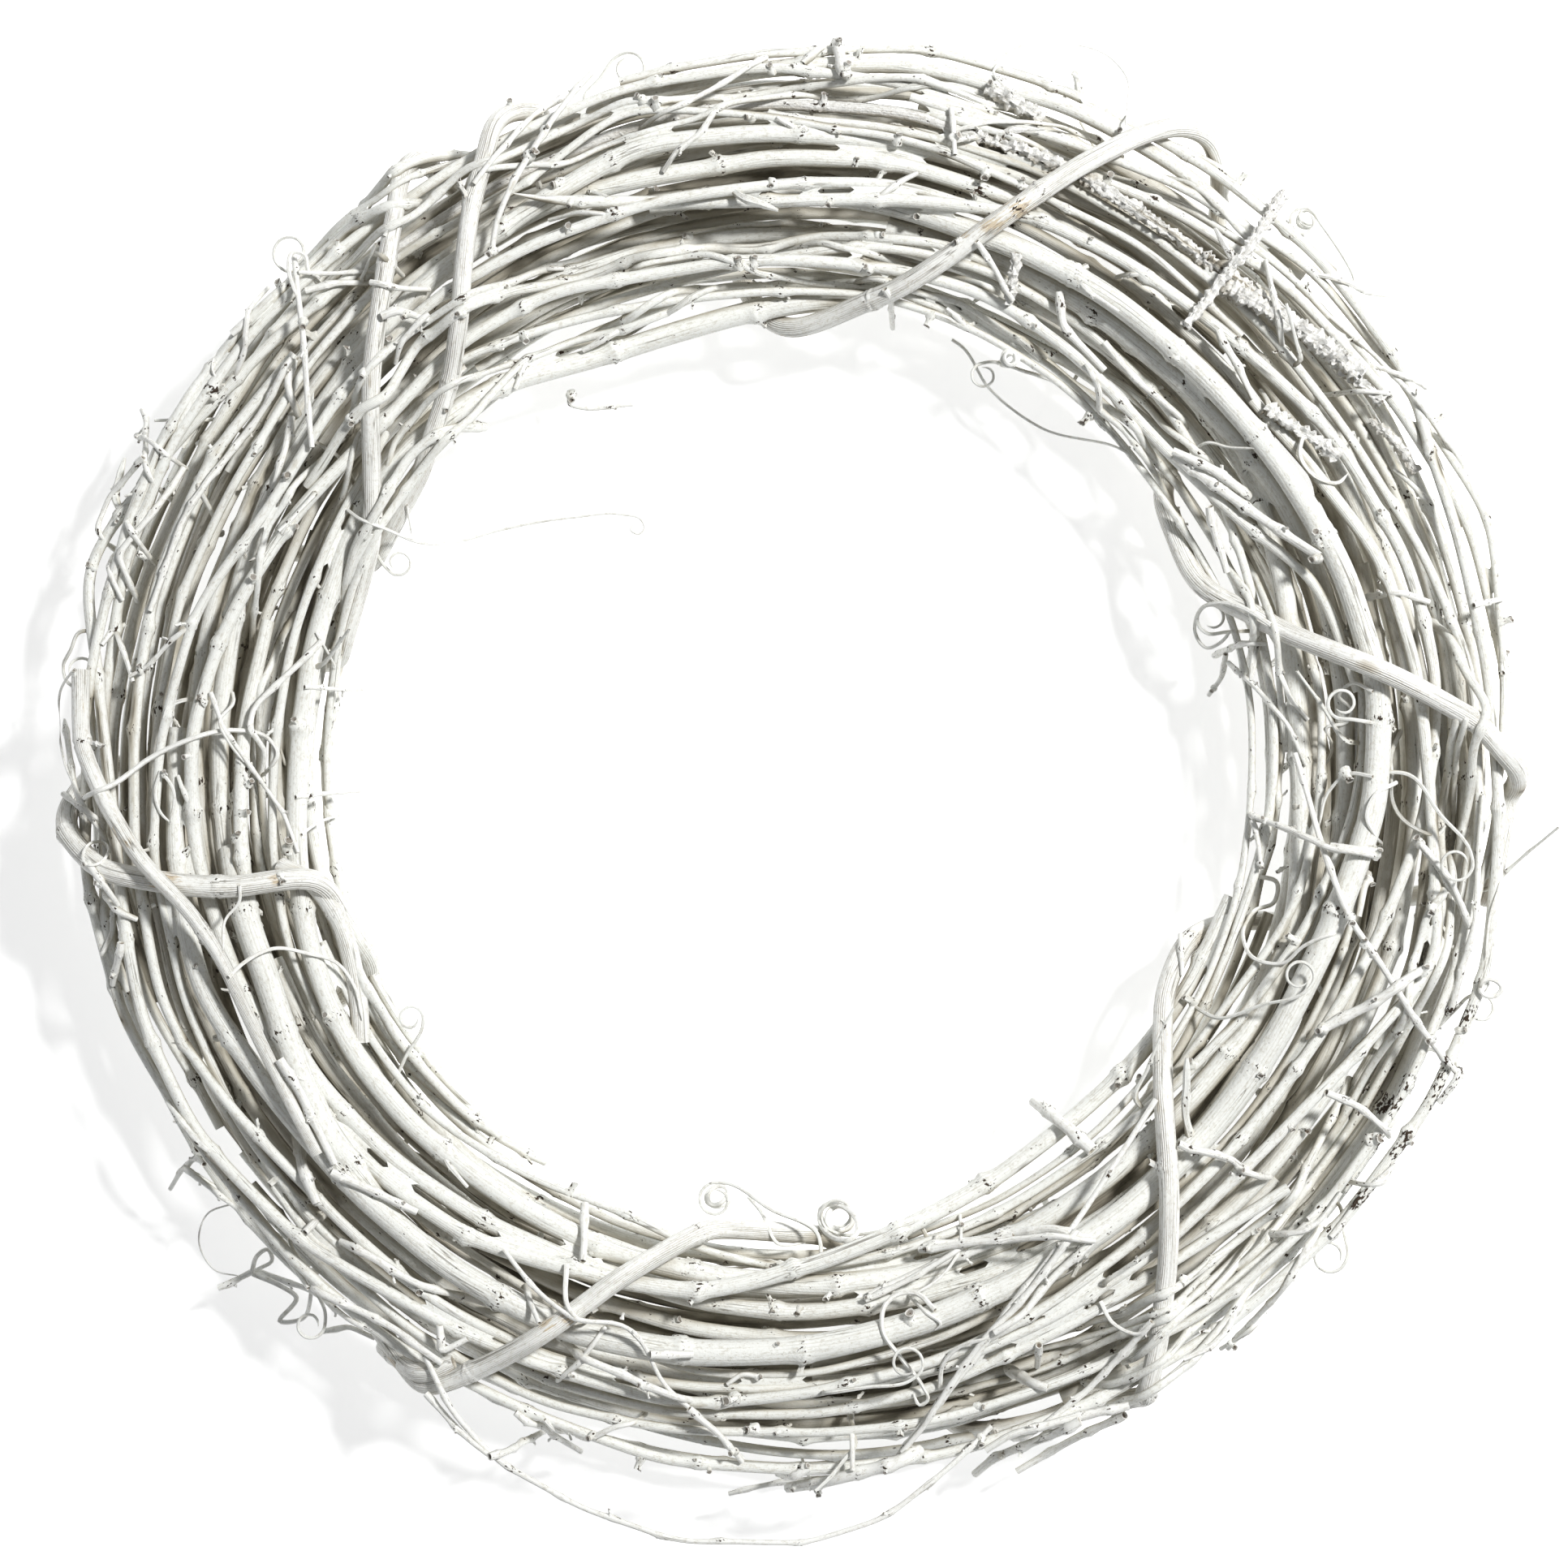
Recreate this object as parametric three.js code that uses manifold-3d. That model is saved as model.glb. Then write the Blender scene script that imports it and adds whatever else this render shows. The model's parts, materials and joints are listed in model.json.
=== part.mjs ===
// Grapevine wreath: long bare canes wound into a loose ring, held by shorter vines wound round it.
// Millimetres, +Z up. It lies flat with its face up, and the origin is on the floor under its middle.
// A place on the ring is an angle in degrees (0 at +X, 90 at +Y), a radius and a height.
import * as THREE from 'three';
import { mergeVertices } from 'three/addons/utils/BufferGeometryUtils.js';
import Module from 'manifold-3d';

const wasm = await Module();
wasm.setup();

// The ring and its bundle of canes
const RING_RADIUS = 208;
const BUNDLE_HALF_WIDTH = 43;
const BUNDLE_HALF_DEPTH = 25;
const GAP = 0.36;

// The face is a dome over a width a little past the bundle's, and never lower than a share of its middle
const FACE_HALF_WIDTH = BUNDLE_HALF_WIDTH + 4;
const FACE_LEAST = 0.2;

// Every long cane has a ring of corners in each of these planes, which all pass through the ring's axis
const STATION_STEP = 12;
const STATION_START = 8;
const STATIONS = 360 / STATION_STEP;

// A round stem of this radius is drawn as a polygon whose corners stand this much further out
const CORNER_REACH = 1.14;
const CANE_SIDES = 5;
const THIN_CANE_SIDES = 4;
const THIN_CANE = 3.7;
const VINE_SIDES = 6;
const TWIG_SIDES = 3;
const TINY = 1e-9;

// Canes of the face: lane points are [angle, radius, depth under the face], thick is along the length
const FACE_CANES = [
  { name: 'cane_01_thick_right', thick: [6.2, 9.4, 9.6, 8.4, 7.6], lane: [
    [166, 216, 10], [182, 217, 5], [193, 219], [203, 218], [213, 209], [225, 208], [248, 208], [263, 204],
    [273, 200], [288, 195], [298, 193], [320, 192, 7], [340, 192], [348, 198], [358, 203], [368, 205],
    [383, 201], [396, 196], [413, 197], [428, 198], [445, 202, 9], [470, 204, 16]] },
  { name: 'cane_02_thick_inner', thick: [7.8, 7.2, 7.8, 8.2, 7], lane: [
    [72, 172, 10], [84, 167, 4], [94, 163], [103, 160], [113, 160], [118, 162], [123, 165], [132, 175],
    [150, 175], [158, 174], [170, 171], [183, 172], [203, 179], [218, 181], [238, 177], [265, 176],
    [285, 179, 6], [308, 180], [323, 181], [329, 185], [338, 189], [350, 184, 6], [362, 179, 1],
    [368, 181, 1], [378, 186, 1], [388, 193, 1], [400, 195, 8], [420, 190, 14]] },
  { name: 'cane_03_low_inner', thick: [4, 4.4, 5, 6.2, 6.2], lane: [
    [8, 197], [18, 196], [28, 184], [33, 173], [43, 170], [53, 173], [63, 178], [75, 180], [88, 178],
    [104, 179], [113, 185], [122, 191], [134, 189, 3], [145, 188], [150, 193], [160, 200], [168, 204],
    [178, 211], [190, 211, 5], [208, 208, 5], [220, 206], [228, 202], [238, 198], [248, 192], [258, 188],
    [268, 179], [278, 171], [288, 165], [298, 162], [308, 159], [323, 159], [340, 160], [352, 162, 1]] },
  { name: 'cane_04_middle', thick: [5, 6.2, 6.2, 7, 8.2], lane: [
    [160, 188, 12], [174, 191, 5], [186, 193], [193, 194], [207, 199], [218, 196], [228, 191], [242, 185],
    [262, 187, 6], [290, 187, 6], [320, 187, 9], [360, 190, 9], [393, 191, 2], [403, 187, 1],
    [412, 188, 1], [428, 190, 9], [450, 192, 15]] },
  { name: 'cane_05_outer_kinks', thick: [4, 4.4, 4, 4.4, 4.8], lane: [
    [126, 224, 5], [138, 228], [147, 235], [153, 239], [158, 246], [164, 253], [168, 243], [175, 235],
    [188, 231], [198, 236], [205, 239], [218, 240], [223, 235], [227, 227], [232, 223], [248, 222],
    [258, 222], [263, 219], [273, 213], [283, 209], [293, 204], [303, 201], [313, 199], [333, 202],
    [343, 209], [353, 216], [363, 223], [376, 224], [383, 222], [393, 218], [403, 213], [423, 207],
    [434, 202], [446, 194], [453, 195], [462, 199], [468, 202], [476, 216], [484, 220, 3]] },
  { name: 'cane_06_kinked_lower_right', thick: [4, 3.8, 3.8, 4.2, 5], lane: [
    [134, 222, 5], [147, 225], [153, 228], [163, 230], [182, 226], [198, 232], [203, 229], [213, 224],
    [223, 220], [242, 219], [258, 216, 4], [280, 213, 4], [298, 209], [318, 207], [328, 212],
    [333, 215], [338, 221], [344, 233], [348, 226], [353, 222], [368, 218], [373, 214], [383, 214],
    [388, 209], [392, 206], [404, 204, 6], [424, 206, 12]] },
  { name: 'cane_07_cut_at_lower_right', thick: [4.4, 4.2, 3.6, 4, 4.6], lane: [
    [62, 212, 8], [74, 210], [84, 207], [92, 202], [113, 201], [134, 204, 1], [143, 202], [147, 197],
    [158, 204], [168, 214], [173, 216], [193, 223, 6], [230, 227, 6], [260, 225, 6], [282, 217, 3],
    [298, 212], [308, 213], [313, 215], [320, 223]] },
  { name: 'cane_08_outer_right', thick: [3.4, 3.6, 3.6, 3.6, 3.4], lane: [
    [128, 220], [138, 218], [150, 216], [175, 221, 7], [210, 230, 7], [238, 234], [248, 234], [258, 231],
    [278, 228], [293, 230], [302, 233], [312, 238], [325, 240], [340, 240], [353, 239, 3], [368, 238],
    [373, 232], [384, 230], [393, 224], [407, 224], [420, 226, 4], [433, 225], [448, 227], [460, 225]] },
  { name: 'cane_09_outer_bottom', thick: [4.2, 3.8, 4.4, 4, 3.2], lane: [
    [176, 246, 10], [188, 248, 3], [198, 248], [208, 244], [218, 240], [230, 242], [243, 238], [253, 239],
    [263, 244], [273, 240], [298, 240], [312, 244, 2], [333, 249], [340, 251], [348, 246], [362, 239],
    [370, 240], [383, 243], [391, 251], [413, 253], [423, 253], [443, 254], [449, 249], [455, 246],
    [464, 246]] },
  { name: 'cane_10_outer_upper_right', thick: [3, 2.8, 3.4, 3.8], lane: [
    [300, 232, 9], [330, 240, 7], [354, 245, 2], [363, 247], [373, 255], [381, 260], [390, 256],
    [398, 252], [408, 252], [417, 244], [423, 238], [442, 235]] },
  { name: 'cane_11_upper_right', thick: [3.6, 4.2, 4.2, 4], lane: [
    [366, 252, 8], [380, 252, 2], [386, 250], [395, 243], [408, 239], [418, 233], [428, 229], [435, 226],
    [450, 222, 6], [480, 214, 13], [520, 210, 16], [560, 216, 18]] },
  { name: 'cane_12_upper_edge', thick: [4.6, 6.2, 6, 5, 4.6], lane: [
    [44, 244, 12], [56, 246, 5], [68, 247], [77, 249], [83, 243], [96, 240, 7], [120, 237, 10],
    [150, 232, 12], [180, 238, 10], [210, 236, 14]] },
  { name: 'cane_13_upper_middle', thick: [5, 6.2, 6.2, 5.6, 5], lane: [
    [44, 212, 12], [62, 212, 5], [78, 213], [89, 216], [98, 209], [108, 212], [118, 214, 4], [136, 211, 4],
    [160, 207, 9], [200, 204, 14], [240, 208, 16]] },
  { name: 'cane_14_upper_thick', thick: [5, 7, 7, 6, 5.4], lane: [
    [56, 222, 14], [76, 219, 5], [89, 218], [94, 220], [100, 223], [108, 222], [116, 215], [126, 212, 5],
    [146, 208, 8], [176, 202, 11], [212, 202, 14], [250, 198, 16], [290, 200, 16]] },
  { name: 'cane_15_inner_edge_right', thick: [2.8, 2.8, 3, 4], lane: [
    [284, 168, 12], [306, 167, 4], [323, 165], [343, 164], [352, 162], [370, 165, 3], [389, 165],
    [400, 161], [408, 166], [423, 166], [433, 170], [445, 168], [458, 167], [468, 171], [478, 176],
    [488, 185], [500, 190, 7]] },
  { name: 'cane_16_inner_right', thick: [4, 4, 3.4, 3.8, 3.6], lane: [
    [296, 174, 10], [322, 169, 4], [338, 165], [348, 167], [358, 171], [379, 174], [391, 179],
    [410, 187, 6], [434, 192], [441, 186], [447, 182], [460, 176, 6], [488, 178, 12]] },
  { name: 'cane_17_inner_left', thick: [3, 3, 3.4, 4, 4], lane: [
    [190, 178, 9], [203, 173], [213, 174], [228, 173], [242, 169], [248, 166], [258, 170], [268, 174],
    [290, 171, 4], [310, 170, 3], [321, 172], [328, 175], [334, 178], [340, 184], [348, 191],
    [362, 197, 5], [384, 201, 11]] },
  { name: 'cane_18_beside_inner', thick: [3.6, 3.6, 3.4, 3.4], lane: [
    [140, 183, 7], [153, 179], [180, 179], [200, 185, 5], [240, 183, 9], [280, 176, 7], [306, 172, 4],
    [323, 169], [333, 171], [343, 179], [350, 182], [366, 186, 6], [400, 182, 11]] },
  { name: 'cane_19_bottom_thin', thick: [3, 3, 3.4, 2.8, 2.8], lane: [
    [205, 214, 8], [221, 208], [229, 198], [245, 203, 7], [264, 212], [273, 207], [283, 202], [302, 191],
    [318, 194], [328, 196], [343, 199], [360, 197, 5], [392, 196, 13]] },
  { name: 'cane_20_upper_left_edge', thick: [3.6, 3.6, 4, 4, 3.6], lane: [
    [62, 236, 8], [76, 238], [80, 241], [86, 245], [103, 244], [110, 241], [128, 238], [140, 240],
    [152, 242], [168, 242, 6], [192, 240, 9], [220, 232, 13]] },
  { name: 'cane_21_spotted', thick: [3, 3, 3.2, 3.2], lane: [
    [36, 215, 8], [52, 217, 1], [63, 216], [72, 212], [80, 218], [88, 221], [94, 225], [103, 236],
    [110, 224], [116, 220], [128, 223, 5], [156, 221, 12]] },
  { name: 'cane_22_outer_thin', thick: [2.4, 2.6, 2.6, 2.4], lane: [
    [376, 250, 8], [388, 252, 3], [393, 256], [398, 260], [410, 260], [418, 258], [428, 252, 4],
    [452, 240, 9], [476, 232, 12]] },
  { name: 'rough_cane_cut_at_right', thick: [4.6, 4.6, 4.2, 4], lane: [
    [32, 240], [38, 236], [43, 231], [49, 226], [58, 225], [67, 227], [80, 230, 5], [100, 230, 11],
    [130, 228, 14]] },
];

// Canes inside and behind the face, spread evenly through the bundle by a seeded rule. Each wanders from
// its middle place in a few waves to the turn. Flatness and sink shape and lower the pack of middles.
const CORE_CANES = 19;
const CORE_THICK = [4.2, 7.4];
const CORE_TAPER = [1, 0.9, 0.75];
const CORE_TURN = [290, 410];
const CORE_REACH = 0.9;
const CORE_FLATNESS = 0.82;
const CORE_SINK = 0.32;
const CORE_EDGE = 37;
const CORE_WAVES = [1, 2, 3];
const CORE_WANDER = 22;
const CORE_WANDER_HEIGHT = 9.9;

// How the canes settle: steps while they are drawn to their lanes, then steps to get clear of each other,
// the pull to a lane and the spread of a shift along the cane in a step, and the overlap that may stay
const SETTLE_STEPS = 420;
const CLEAR_STEPS = 500;
const LANE_PULL = 0.1;
const SPREAD_SHIFT = 0.25;
const SETTLED = 0.01;

// Two canes whose middles are nearer than this are parted across their crossing
const SAME_PLACE = 0.05;

// Binding vines: face points are [angle, radius] from the outer edge to the inner one, and behind is
// how many degrees the vine moves on between the last face point and its end underneath
const BINDING_VINES = [
  { name: 'binding_vine_right', thick: 7, behind: 10, face: [
    [-4, 246], [0.5, 248], [3, 242], [5.5, 230], [8, 213], [10.5, 198], [13, 187], [18, 172], [24, 163],
    [33, 161]] },
  { name: 'binding_vine_top', thick: 6.7, behind: 5, face: [
    [55.5, 262], [60.5, 255], [63.8, 234], [68, 210], [73, 189], [78.8, 173], [84.7, 162], [92, 158]] },
  { name: 'binding_vine_upper_left_a', thick: 6.2, behind: 8, face: [
    [114, 246], [118.3, 234], [123, 208], [128, 188], [134, 174], [143, 165], [149, 163]] },
  { name: 'binding_vine_upper_left_b', thick: 6.2, behind: 8, face: [
    [124.3, 244], [128, 230], [134, 208], [140.5, 187], [147, 174], [153, 167], [162, 164]] },
  { name: 'binding_vine_left', thick: 7.3, behind: 6, face: [
    [182, 257], [186.3, 246], [189.7, 223], [192, 198], [192.3, 180], [196, 171], [202, 165]] },
  { name: 'binding_vine_lower_left', thick: 6.7, behind: 6, face: [
    [235, 255], [240.5, 237], [245.5, 210], [250.5, 190], [256.3, 171], [263, 159], [272, 157]] },
  { name: 'binding_vine_lower_right', thick: 6.7, behind: 6, face: [
    [290, 262], [296, 260], [300.5, 246], [305.5, 221], [310.5, 201], [315.5, 185], [321.3, 169],
    [328, 159], [338, 156]] },
];
const VINE_STEPS = 24;
const VINE_FROM = -0.42 * Math.PI;
const VINE_TO = 1.5 * Math.PI;
const VINE_BACK_LEAN = 0.4;

// How far out a binding vine starts and may come in, and how deep the floor cuts into it underneath
const VINE_SLACK = 1.9;
const VINE_INSIDE = 0.6;
const VINE_UNDER = 0.93;
const VINE_CUT = 0.9;
const VINE_MARGIN = 10;

// How a stem is pulled taut over what lies under it: steps, most move in a step, passes to clear what it
// lies on in a step, the most that one pass moves it, and the least share of a push that counts
const TAUT_STEPS = 260;
const TAUT_MOVE = 0.7;
const TAUT_PASSES = 3;
const TAUT_PUSH = 1;
const TAUT_FACING = 0.35;

// Stems that lie across the face on top of the canes, by [angle, radius], laid from this height down to
// no lower than the other
const LAID_FROM = 60;
const LAID_LOW = -6;
const LAID_MARGIN = 70;
const LAID_STEMS = [
  { name: 'laid_vine_left', thick: [7, 6, 4.4], route: [
    [172, 247], [178, 244], [183, 234], [188, 223], [193, 210], [198, 204], [207, 203], [219, 208]] },
  { name: 'laid_stick_rough', thick: [3.4, 3.2, 3], route: [
    [49.6, 265], [48.8, 251], [48.6, 226], [48.4, 202]] },
  { name: 'laid_twig_lower_right', thick: [2.6, 2.5, 2.2], route: [
    [278, 243], [283, 223], [288, 209], [292, 197], [298, 188], [303, 181], [309, 174], [318, 168]] },
  { name: 'laid_twig_right', thick: [2.6, 2.6, 2.2], route: [
    [335.5, 254], [338, 232], [340.5, 218], [345, 196], [353, 182], [362, 174]] },
  { name: 'laid_twig_upper_left', thick: [2.2, 2.4, 2.2], route: [
    [134, 247], [136, 235], [138, 225], [140.5, 215], [143, 206], [146, 197]] },
  { name: 'laid_twig_top', thick: [2.2, 2.4, 2.2], route: [
    [106, 251], [110.5, 237], [113.5, 227], [115.5, 220], [118.4, 212], [120, 204]] },
  { name: 'laid_twig_bottom_loop', thick: [2.2, 2.2, 2.2], route: [
    [238, 237], [242, 248], [247, 257], [254, 263], [262, 267], [271, 265], [277, 259], [282, 248],
    [287, 236]] },
  { name: 'long_tendril_bottom', thick: [1.8, 1.8, 1.6], route: [
    [239, 191], [244, 197], [249, 200], [252.8, 195], [255.5, 200], [258, 214], [263, 226], [266, 238]] },
];

// Small growth fused to the canes: buds and cut spurs, twigs, and tendrils that end in a curl
const SEED = 41;
const GROWTH_RADIUS = [153, 266];
const GROWTH_HEIGHT = [-27, 44];
const GROWTH_MARGIN = 12;
const GROWTH_TRIES = 60;
const ROOT_SHARE = [0.2, 0.8];

// Leans are shares of the way out of the bundle: along the cane first, then the spread to its sides
const BUDS = 70;
const BUD_LENGTH = [4, 8];
const BUD_THICK = 3.2;
const BUD_POINT = 0.4;
const BUD_LEAN = [0.3, 0.9];
const BUD_SPREAD = 1.2;
const FULL_BUD_CANE = 2.4;
const TWIGS = 24;
const TWIG_LENGTH = [18, 46];
const TWIG_THICK = 2.4;
const TWIG_MOST = 1.4;
const TWIG_TAPER = 0.6;
const TWIG_STEPS = 4;
const TWIG_FORWARD = 0.75;
const TWIG_LEAN = [0.7, 2.1];
const TWIG_SPREAD = 1.4;
const TWIG_BEND = 0.35;
const TWIG_DROOP = 0.5;
const TENDRIL_THICK = 1.7;
const TENDRIL_CURL = [4.35, 7.25];
const TENDRIL_RISE = 7;
const TENDRIL_TOP = 0.45;
const TENDRIL_TRIES = 400;
const TENDRIL_LENGTH = [14, 62];
const CURL_STEPS = 9;
const CURL_TURN = 0.74;
const CURL_TIGHTEN = 0.045;
const CURL_CLIMB = 0.3;

// Middles of the tendrils' curls, by [angle, radius, height]
const TENDRIL_CURLS = [
  [20, 156, 6], [47, 262, 4], [7, 189, 36], [68, 258, 6], [103, 252, 2], [134, 250, 12], [152, 155, 4],
  [172, 250, 6], [213, 158, 8], [229, 256, 4], [260, 152, 4], [276, 156, 2], [281, 205, 38],
  [318, 252, 8], [341, 254, 6], [352, 228, 38], [338, 186, 38], [64, 154, 0],
];

const FLOOR_CUT = [800, 800, 40];
const PAINT = { color: 0xe9e5da, roughness: 0.88, metalness: 0 };
const ROUGH_BARK_PAINT = { color: 0xefece4, roughness: 0.97, metalness: 0 };

// Helpers
const UP = new THREE.Vector3(0, 0, 1);
const radians = THREE.MathUtils.degToRad;

function seededRandom(seed) {
  let state = seed;
  return () => {
    state = (state * 1664525 + 1013904223) % 4294967296;
    return state / 4294967296;
  };
}

const random = seededRandom(SEED);
const between = ([low, high]) => low + (high - low) * random();

function onRing(angle, radius, height) {
  const turn = radians(angle);
  return new THREE.Vector3(radius * Math.cos(turn), radius * Math.sin(turn), height);
}

// Value of a list of evenly spread numbers at a share of its length
function spreadAt(values, share) {
  const place = Math.min(Math.max(share, 0), 1) * (values.length - 1);
  const index = Math.min(Math.floor(place), values.length - 2);
  return values[index] + (values[index + 1] - values[index]) * (place - index);
}

// Height of the bundle's face over its mid-plane at a radius
function faceHeight(radius) {
  const across = (radius - RING_RADIUS) / FACE_HALF_WIDTH;
  return BUNDLE_HALF_DEPTH * Math.sqrt(Math.max(FACE_LEAST ** 2, 1 - across * across));
}

// Radius and height at an angle of a lane
function laneAt(lane, angle) {
  let index = 0;
  while (index < lane.length - 2 && lane[index + 1][0] < angle) {
    index += 1;
  }
  const [startAngle, startRadius, startDepth = 0] = lane[index];
  const [endAngle, endRadius, endDepth = 0] = lane[index + 1];
  const share = Math.min(Math.max((angle - startAngle) / (endAngle - startAngle), 0), 1);
  const radius = startRadius + (endRadius - startRadius) * share;
  const depth = startDepth + (endDepth - startDepth) * share;
  return { radius, height: faceHeight(radius) - depth };
}

// Long canes: places at the stations
function makeCane(name, thick, firstStation, places) {
  const last = places.length - 1;
  return {
    name,
    firstStation,
    reach: places.map((_, i) => spreadAt(thick, i / last) / 2 * CORNER_REACH),
    sides: spreadAt(thick, 0.5) < THIN_CANE ? THIN_CANE_SIDES : CANE_SIDES,
    lane: places,
    places: places.map((place) => ({ ...place })),
  };
}

function faceCane({ name, thick, lane }) {
  const first = Math.ceil((lane[0][0] - STATION_START) / STATION_STEP);
  const last = Math.floor((lane[lane.length - 1][0] - STATION_START) / STATION_STEP);
  const places = [];
  for (let station = first; station <= last; station += 1) {
    places.push(laneAt(lane, STATION_START + station * STATION_STEP));
  }
  return makeCane(name, thick, first, places);
}

function coreCane(index) {
  const goldenTurn = Math.PI * (3 - Math.sqrt(5));
  const out = Math.sqrt((index + 0.5) / CORE_CANES) * CORE_REACH;
  const middle = {
    across: BUNDLE_HALF_WIDTH * out * Math.cos(index * goldenTurn),
    height: BUNDLE_HALF_DEPTH * (out * CORE_FLATNESS * Math.sin(index * goldenTurn) - CORE_SINK),
  };
  const waves = CORE_WAVES.map((count) => ({
    count,
    across: CORE_WANDER / count * (random() - 0.5),
    height: CORE_WANDER_HEIGHT / count * (random() - 0.5),
    shift: random() * Math.PI * 2,
  }));
  const first = Math.floor(random() * STATIONS);
  const steps = Math.round(between(CORE_TURN) / STATION_STEP);
  const places = [];
  for (let step = 0; step <= steps; step += 1) {
    const turn = radians((first + step) * STATION_STEP);
    let across = middle.across;
    let height = middle.height;
    for (const wave of waves) {
      across += wave.across * Math.sin(wave.count * turn + wave.shift);
      height += wave.height * Math.cos(wave.count * turn + wave.shift);
    }
    across = Math.min(Math.max(across, -CORE_EDGE), CORE_EDGE);
    const edge = BUNDLE_HALF_DEPTH * Math.sqrt(1 - (across / BUNDLE_HALF_WIDTH) ** 2);
    places.push({ radius: RING_RADIUS + across, height: Math.max(height, -edge) });
  }
  const base = between(CORE_THICK);
  const number = String(FACE_CANES.length + index).padStart(2, '0');
  const thick = CORE_TAPER.map((taper) => base * taper);
  return makeCane(`cane_${number}_core`, thick, first, places);
}

// Spreads the shift of each place from its lane to the places beside it
function shareShift(cane) {
  const shifts = cane.places.map((place, i) => ({
    radius: place.radius - cane.lane[i].radius,
    height: place.height - cane.lane[i].height,
  }));
  for (let i = 1; i < shifts.length - 1; i += 1) {
    for (const key of ['radius', 'height']) {
      const mean = (shifts[i - 1][key] + shifts[i + 1][key]) / 2;
      cane.places[i][key] += SPREAD_SHIFT * (mean - shifts[i][key]);
    }
  }
}

// Pushes two canes apart at their nearest point between two stations
function partPair(a, b) {
  const [a0, a1] = [a.cane.places[a.index], a.cane.places[a.index + 1]];
  const [b0, b1] = [b.cane.places[b.index], b.cane.places[b.index + 1]];
  const r0 = a0.radius - b0.radius;
  const z0 = a0.height - b0.height;
  const dr = a1.radius - b1.radius - r0;
  const dz = a1.height - b1.height - z0;
  const span = dr * dr + dz * dz;
  const share = span > TINY ? Math.min(Math.max(-(r0 * dr + z0 * dz) / span, 0), 1) : 0.5;
  const r = r0 + dr * share;
  const z = z0 + dz * share;
  const reachA = a.cane.reach[a.index] * (1 - share) + a.cane.reach[a.index + 1] * share;
  const reachB = b.cane.reach[b.index] * (1 - share) + b.cane.reach[b.index + 1] * share;
  const need = reachA + reachB + GAP;
  const distance = Math.hypot(r, z);
  if (distance >= need) {
    return 0;
  }
  let [alongR, alongZ] = [r / distance, z / distance];
  if (distance < SAME_PLACE) {
    const length = Math.sqrt(span) || 1;
    const side = a.rank > b.rank ? 1 : -1;
    [alongR, alongZ] = [-dz / length, dr / length];
    if (alongZ * side < 0) {
      [alongR, alongZ] = [-alongR, -alongZ];
    }
  }
  const push = (need - distance) / 2 / ((1 - share) ** 2 + share ** 2);
  for (const [place, other, weight] of [[a0, b0, 1 - share], [a1, b1, share]]) {
    place.radius += alongR * push * weight;
    place.height += alongZ * push * weight;
    other.radius -= alongR * push * weight;
    other.height -= alongZ * push * weight;
  }
  return need - distance;
}

// Settles the canes until none is nearer to another than their thickness and the gap
function settle(canes) {
  const bays = Array.from({ length: STATIONS }, () => []);
  canes.forEach((cane, rank) => {
    for (let index = 0; index < cane.places.length - 1; index += 1) {
      const bay = (cane.firstStation + index) % STATIONS;
      bays[bay].push({ cane, index, rank: rank + index / STATIONS });
    }
  });
  for (let step = 0; step < SETTLE_STEPS + CLEAR_STEPS; step += 1) {
    const pull = LANE_PULL * Math.max(0, 1 - step / SETTLE_STEPS);
    for (const cane of canes) {
      cane.places.forEach((place, i) => {
        place.radius += pull * (cane.lane[i].radius - place.radius);
        place.height += pull * (cane.lane[i].height - place.height);
      });
      if (step < SETTLE_STEPS + CLEAR_STEPS / 2) {
        shareShift(cane);
      }
    }
    let worst = 0;
    for (const bay of bays) {
      for (let i = 0; i < bay.length; i += 1) {
        for (let j = i + 1; j < bay.length; j += 1) {
          worst = Math.max(worst, partPair(bay[i], bay[j]));
        }
      }
    }
    if (step > SETTLE_STEPS && worst < SETTLED) {
      break;
    }
  }
}

// A solid stem swept along points, with a ring of corners at each, or a point where the reach is 0
function ringFrames(points) {
  const tangents = points.map((point, i) => {
    const before = points[Math.max(i - 1, 0)];
    const after = points[Math.min(i + 1, points.length - 1)];
    return after.clone().sub(before).normalize();
  });
  const normal = Math.abs(tangents[0].z) < 0.8 ? UP.clone() : new THREE.Vector3(1, 0, 0);
  return tangents.map((tangent) => {
    normal.addScaledVector(tangent, -normal.dot(tangent)).normalize();
    return { normal: normal.clone(), side: normal.clone().cross(tangent) };
  });
}

function sweep(points, reach, sides, frames = ringFrames(points)) {
  const rows = points.length - 1;
  const pointed = reach[rows] === 0;
  const geometry = new THREE.CylinderGeometry(pointed ? 0 : 1, 1, 1, sides, rows);
  const position = geometry.attributes.position;
  for (let i = 0; i < position.count; i += 1) {
    const row = Math.round((position.getY(i) + 0.5) * rows);
    const place = points[row].clone();
    const length = Math.hypot(position.getX(i), position.getZ(i));
    if (length > 0.001 && reach[row] > 0) {
      place.addScaledVector(frames[row].normal, position.getX(i) / length * reach[row]);
      place.addScaledVector(frames[row].side, position.getZ(i) / length * reach[row]);
    }
    position.setXYZ(i, place.x, place.y, place.z);
  }
  return closed(geometry);
}

function closed(geometry) {
  geometry.deleteAttribute('normal');
  geometry.deleteAttribute('uv');
  return mergeVertices(geometry, 1e-4);
}

function caneSolid(cane) {
  const points = canePoints(cane);
  const frames = points.map((point) => {
    const normal = new THREE.Vector3(point.x, point.y, 0).normalize();
    return { normal, side: UP };
  });
  return sweep(points, cane.reach, cane.sides, frames);
}

function canePoints(cane) {
  return cane.places.map(({ radius, height }, i) => {
    return onRing(STATION_START + (cane.firstStation + i) * STATION_STEP, radius, height);
  });
}

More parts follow.
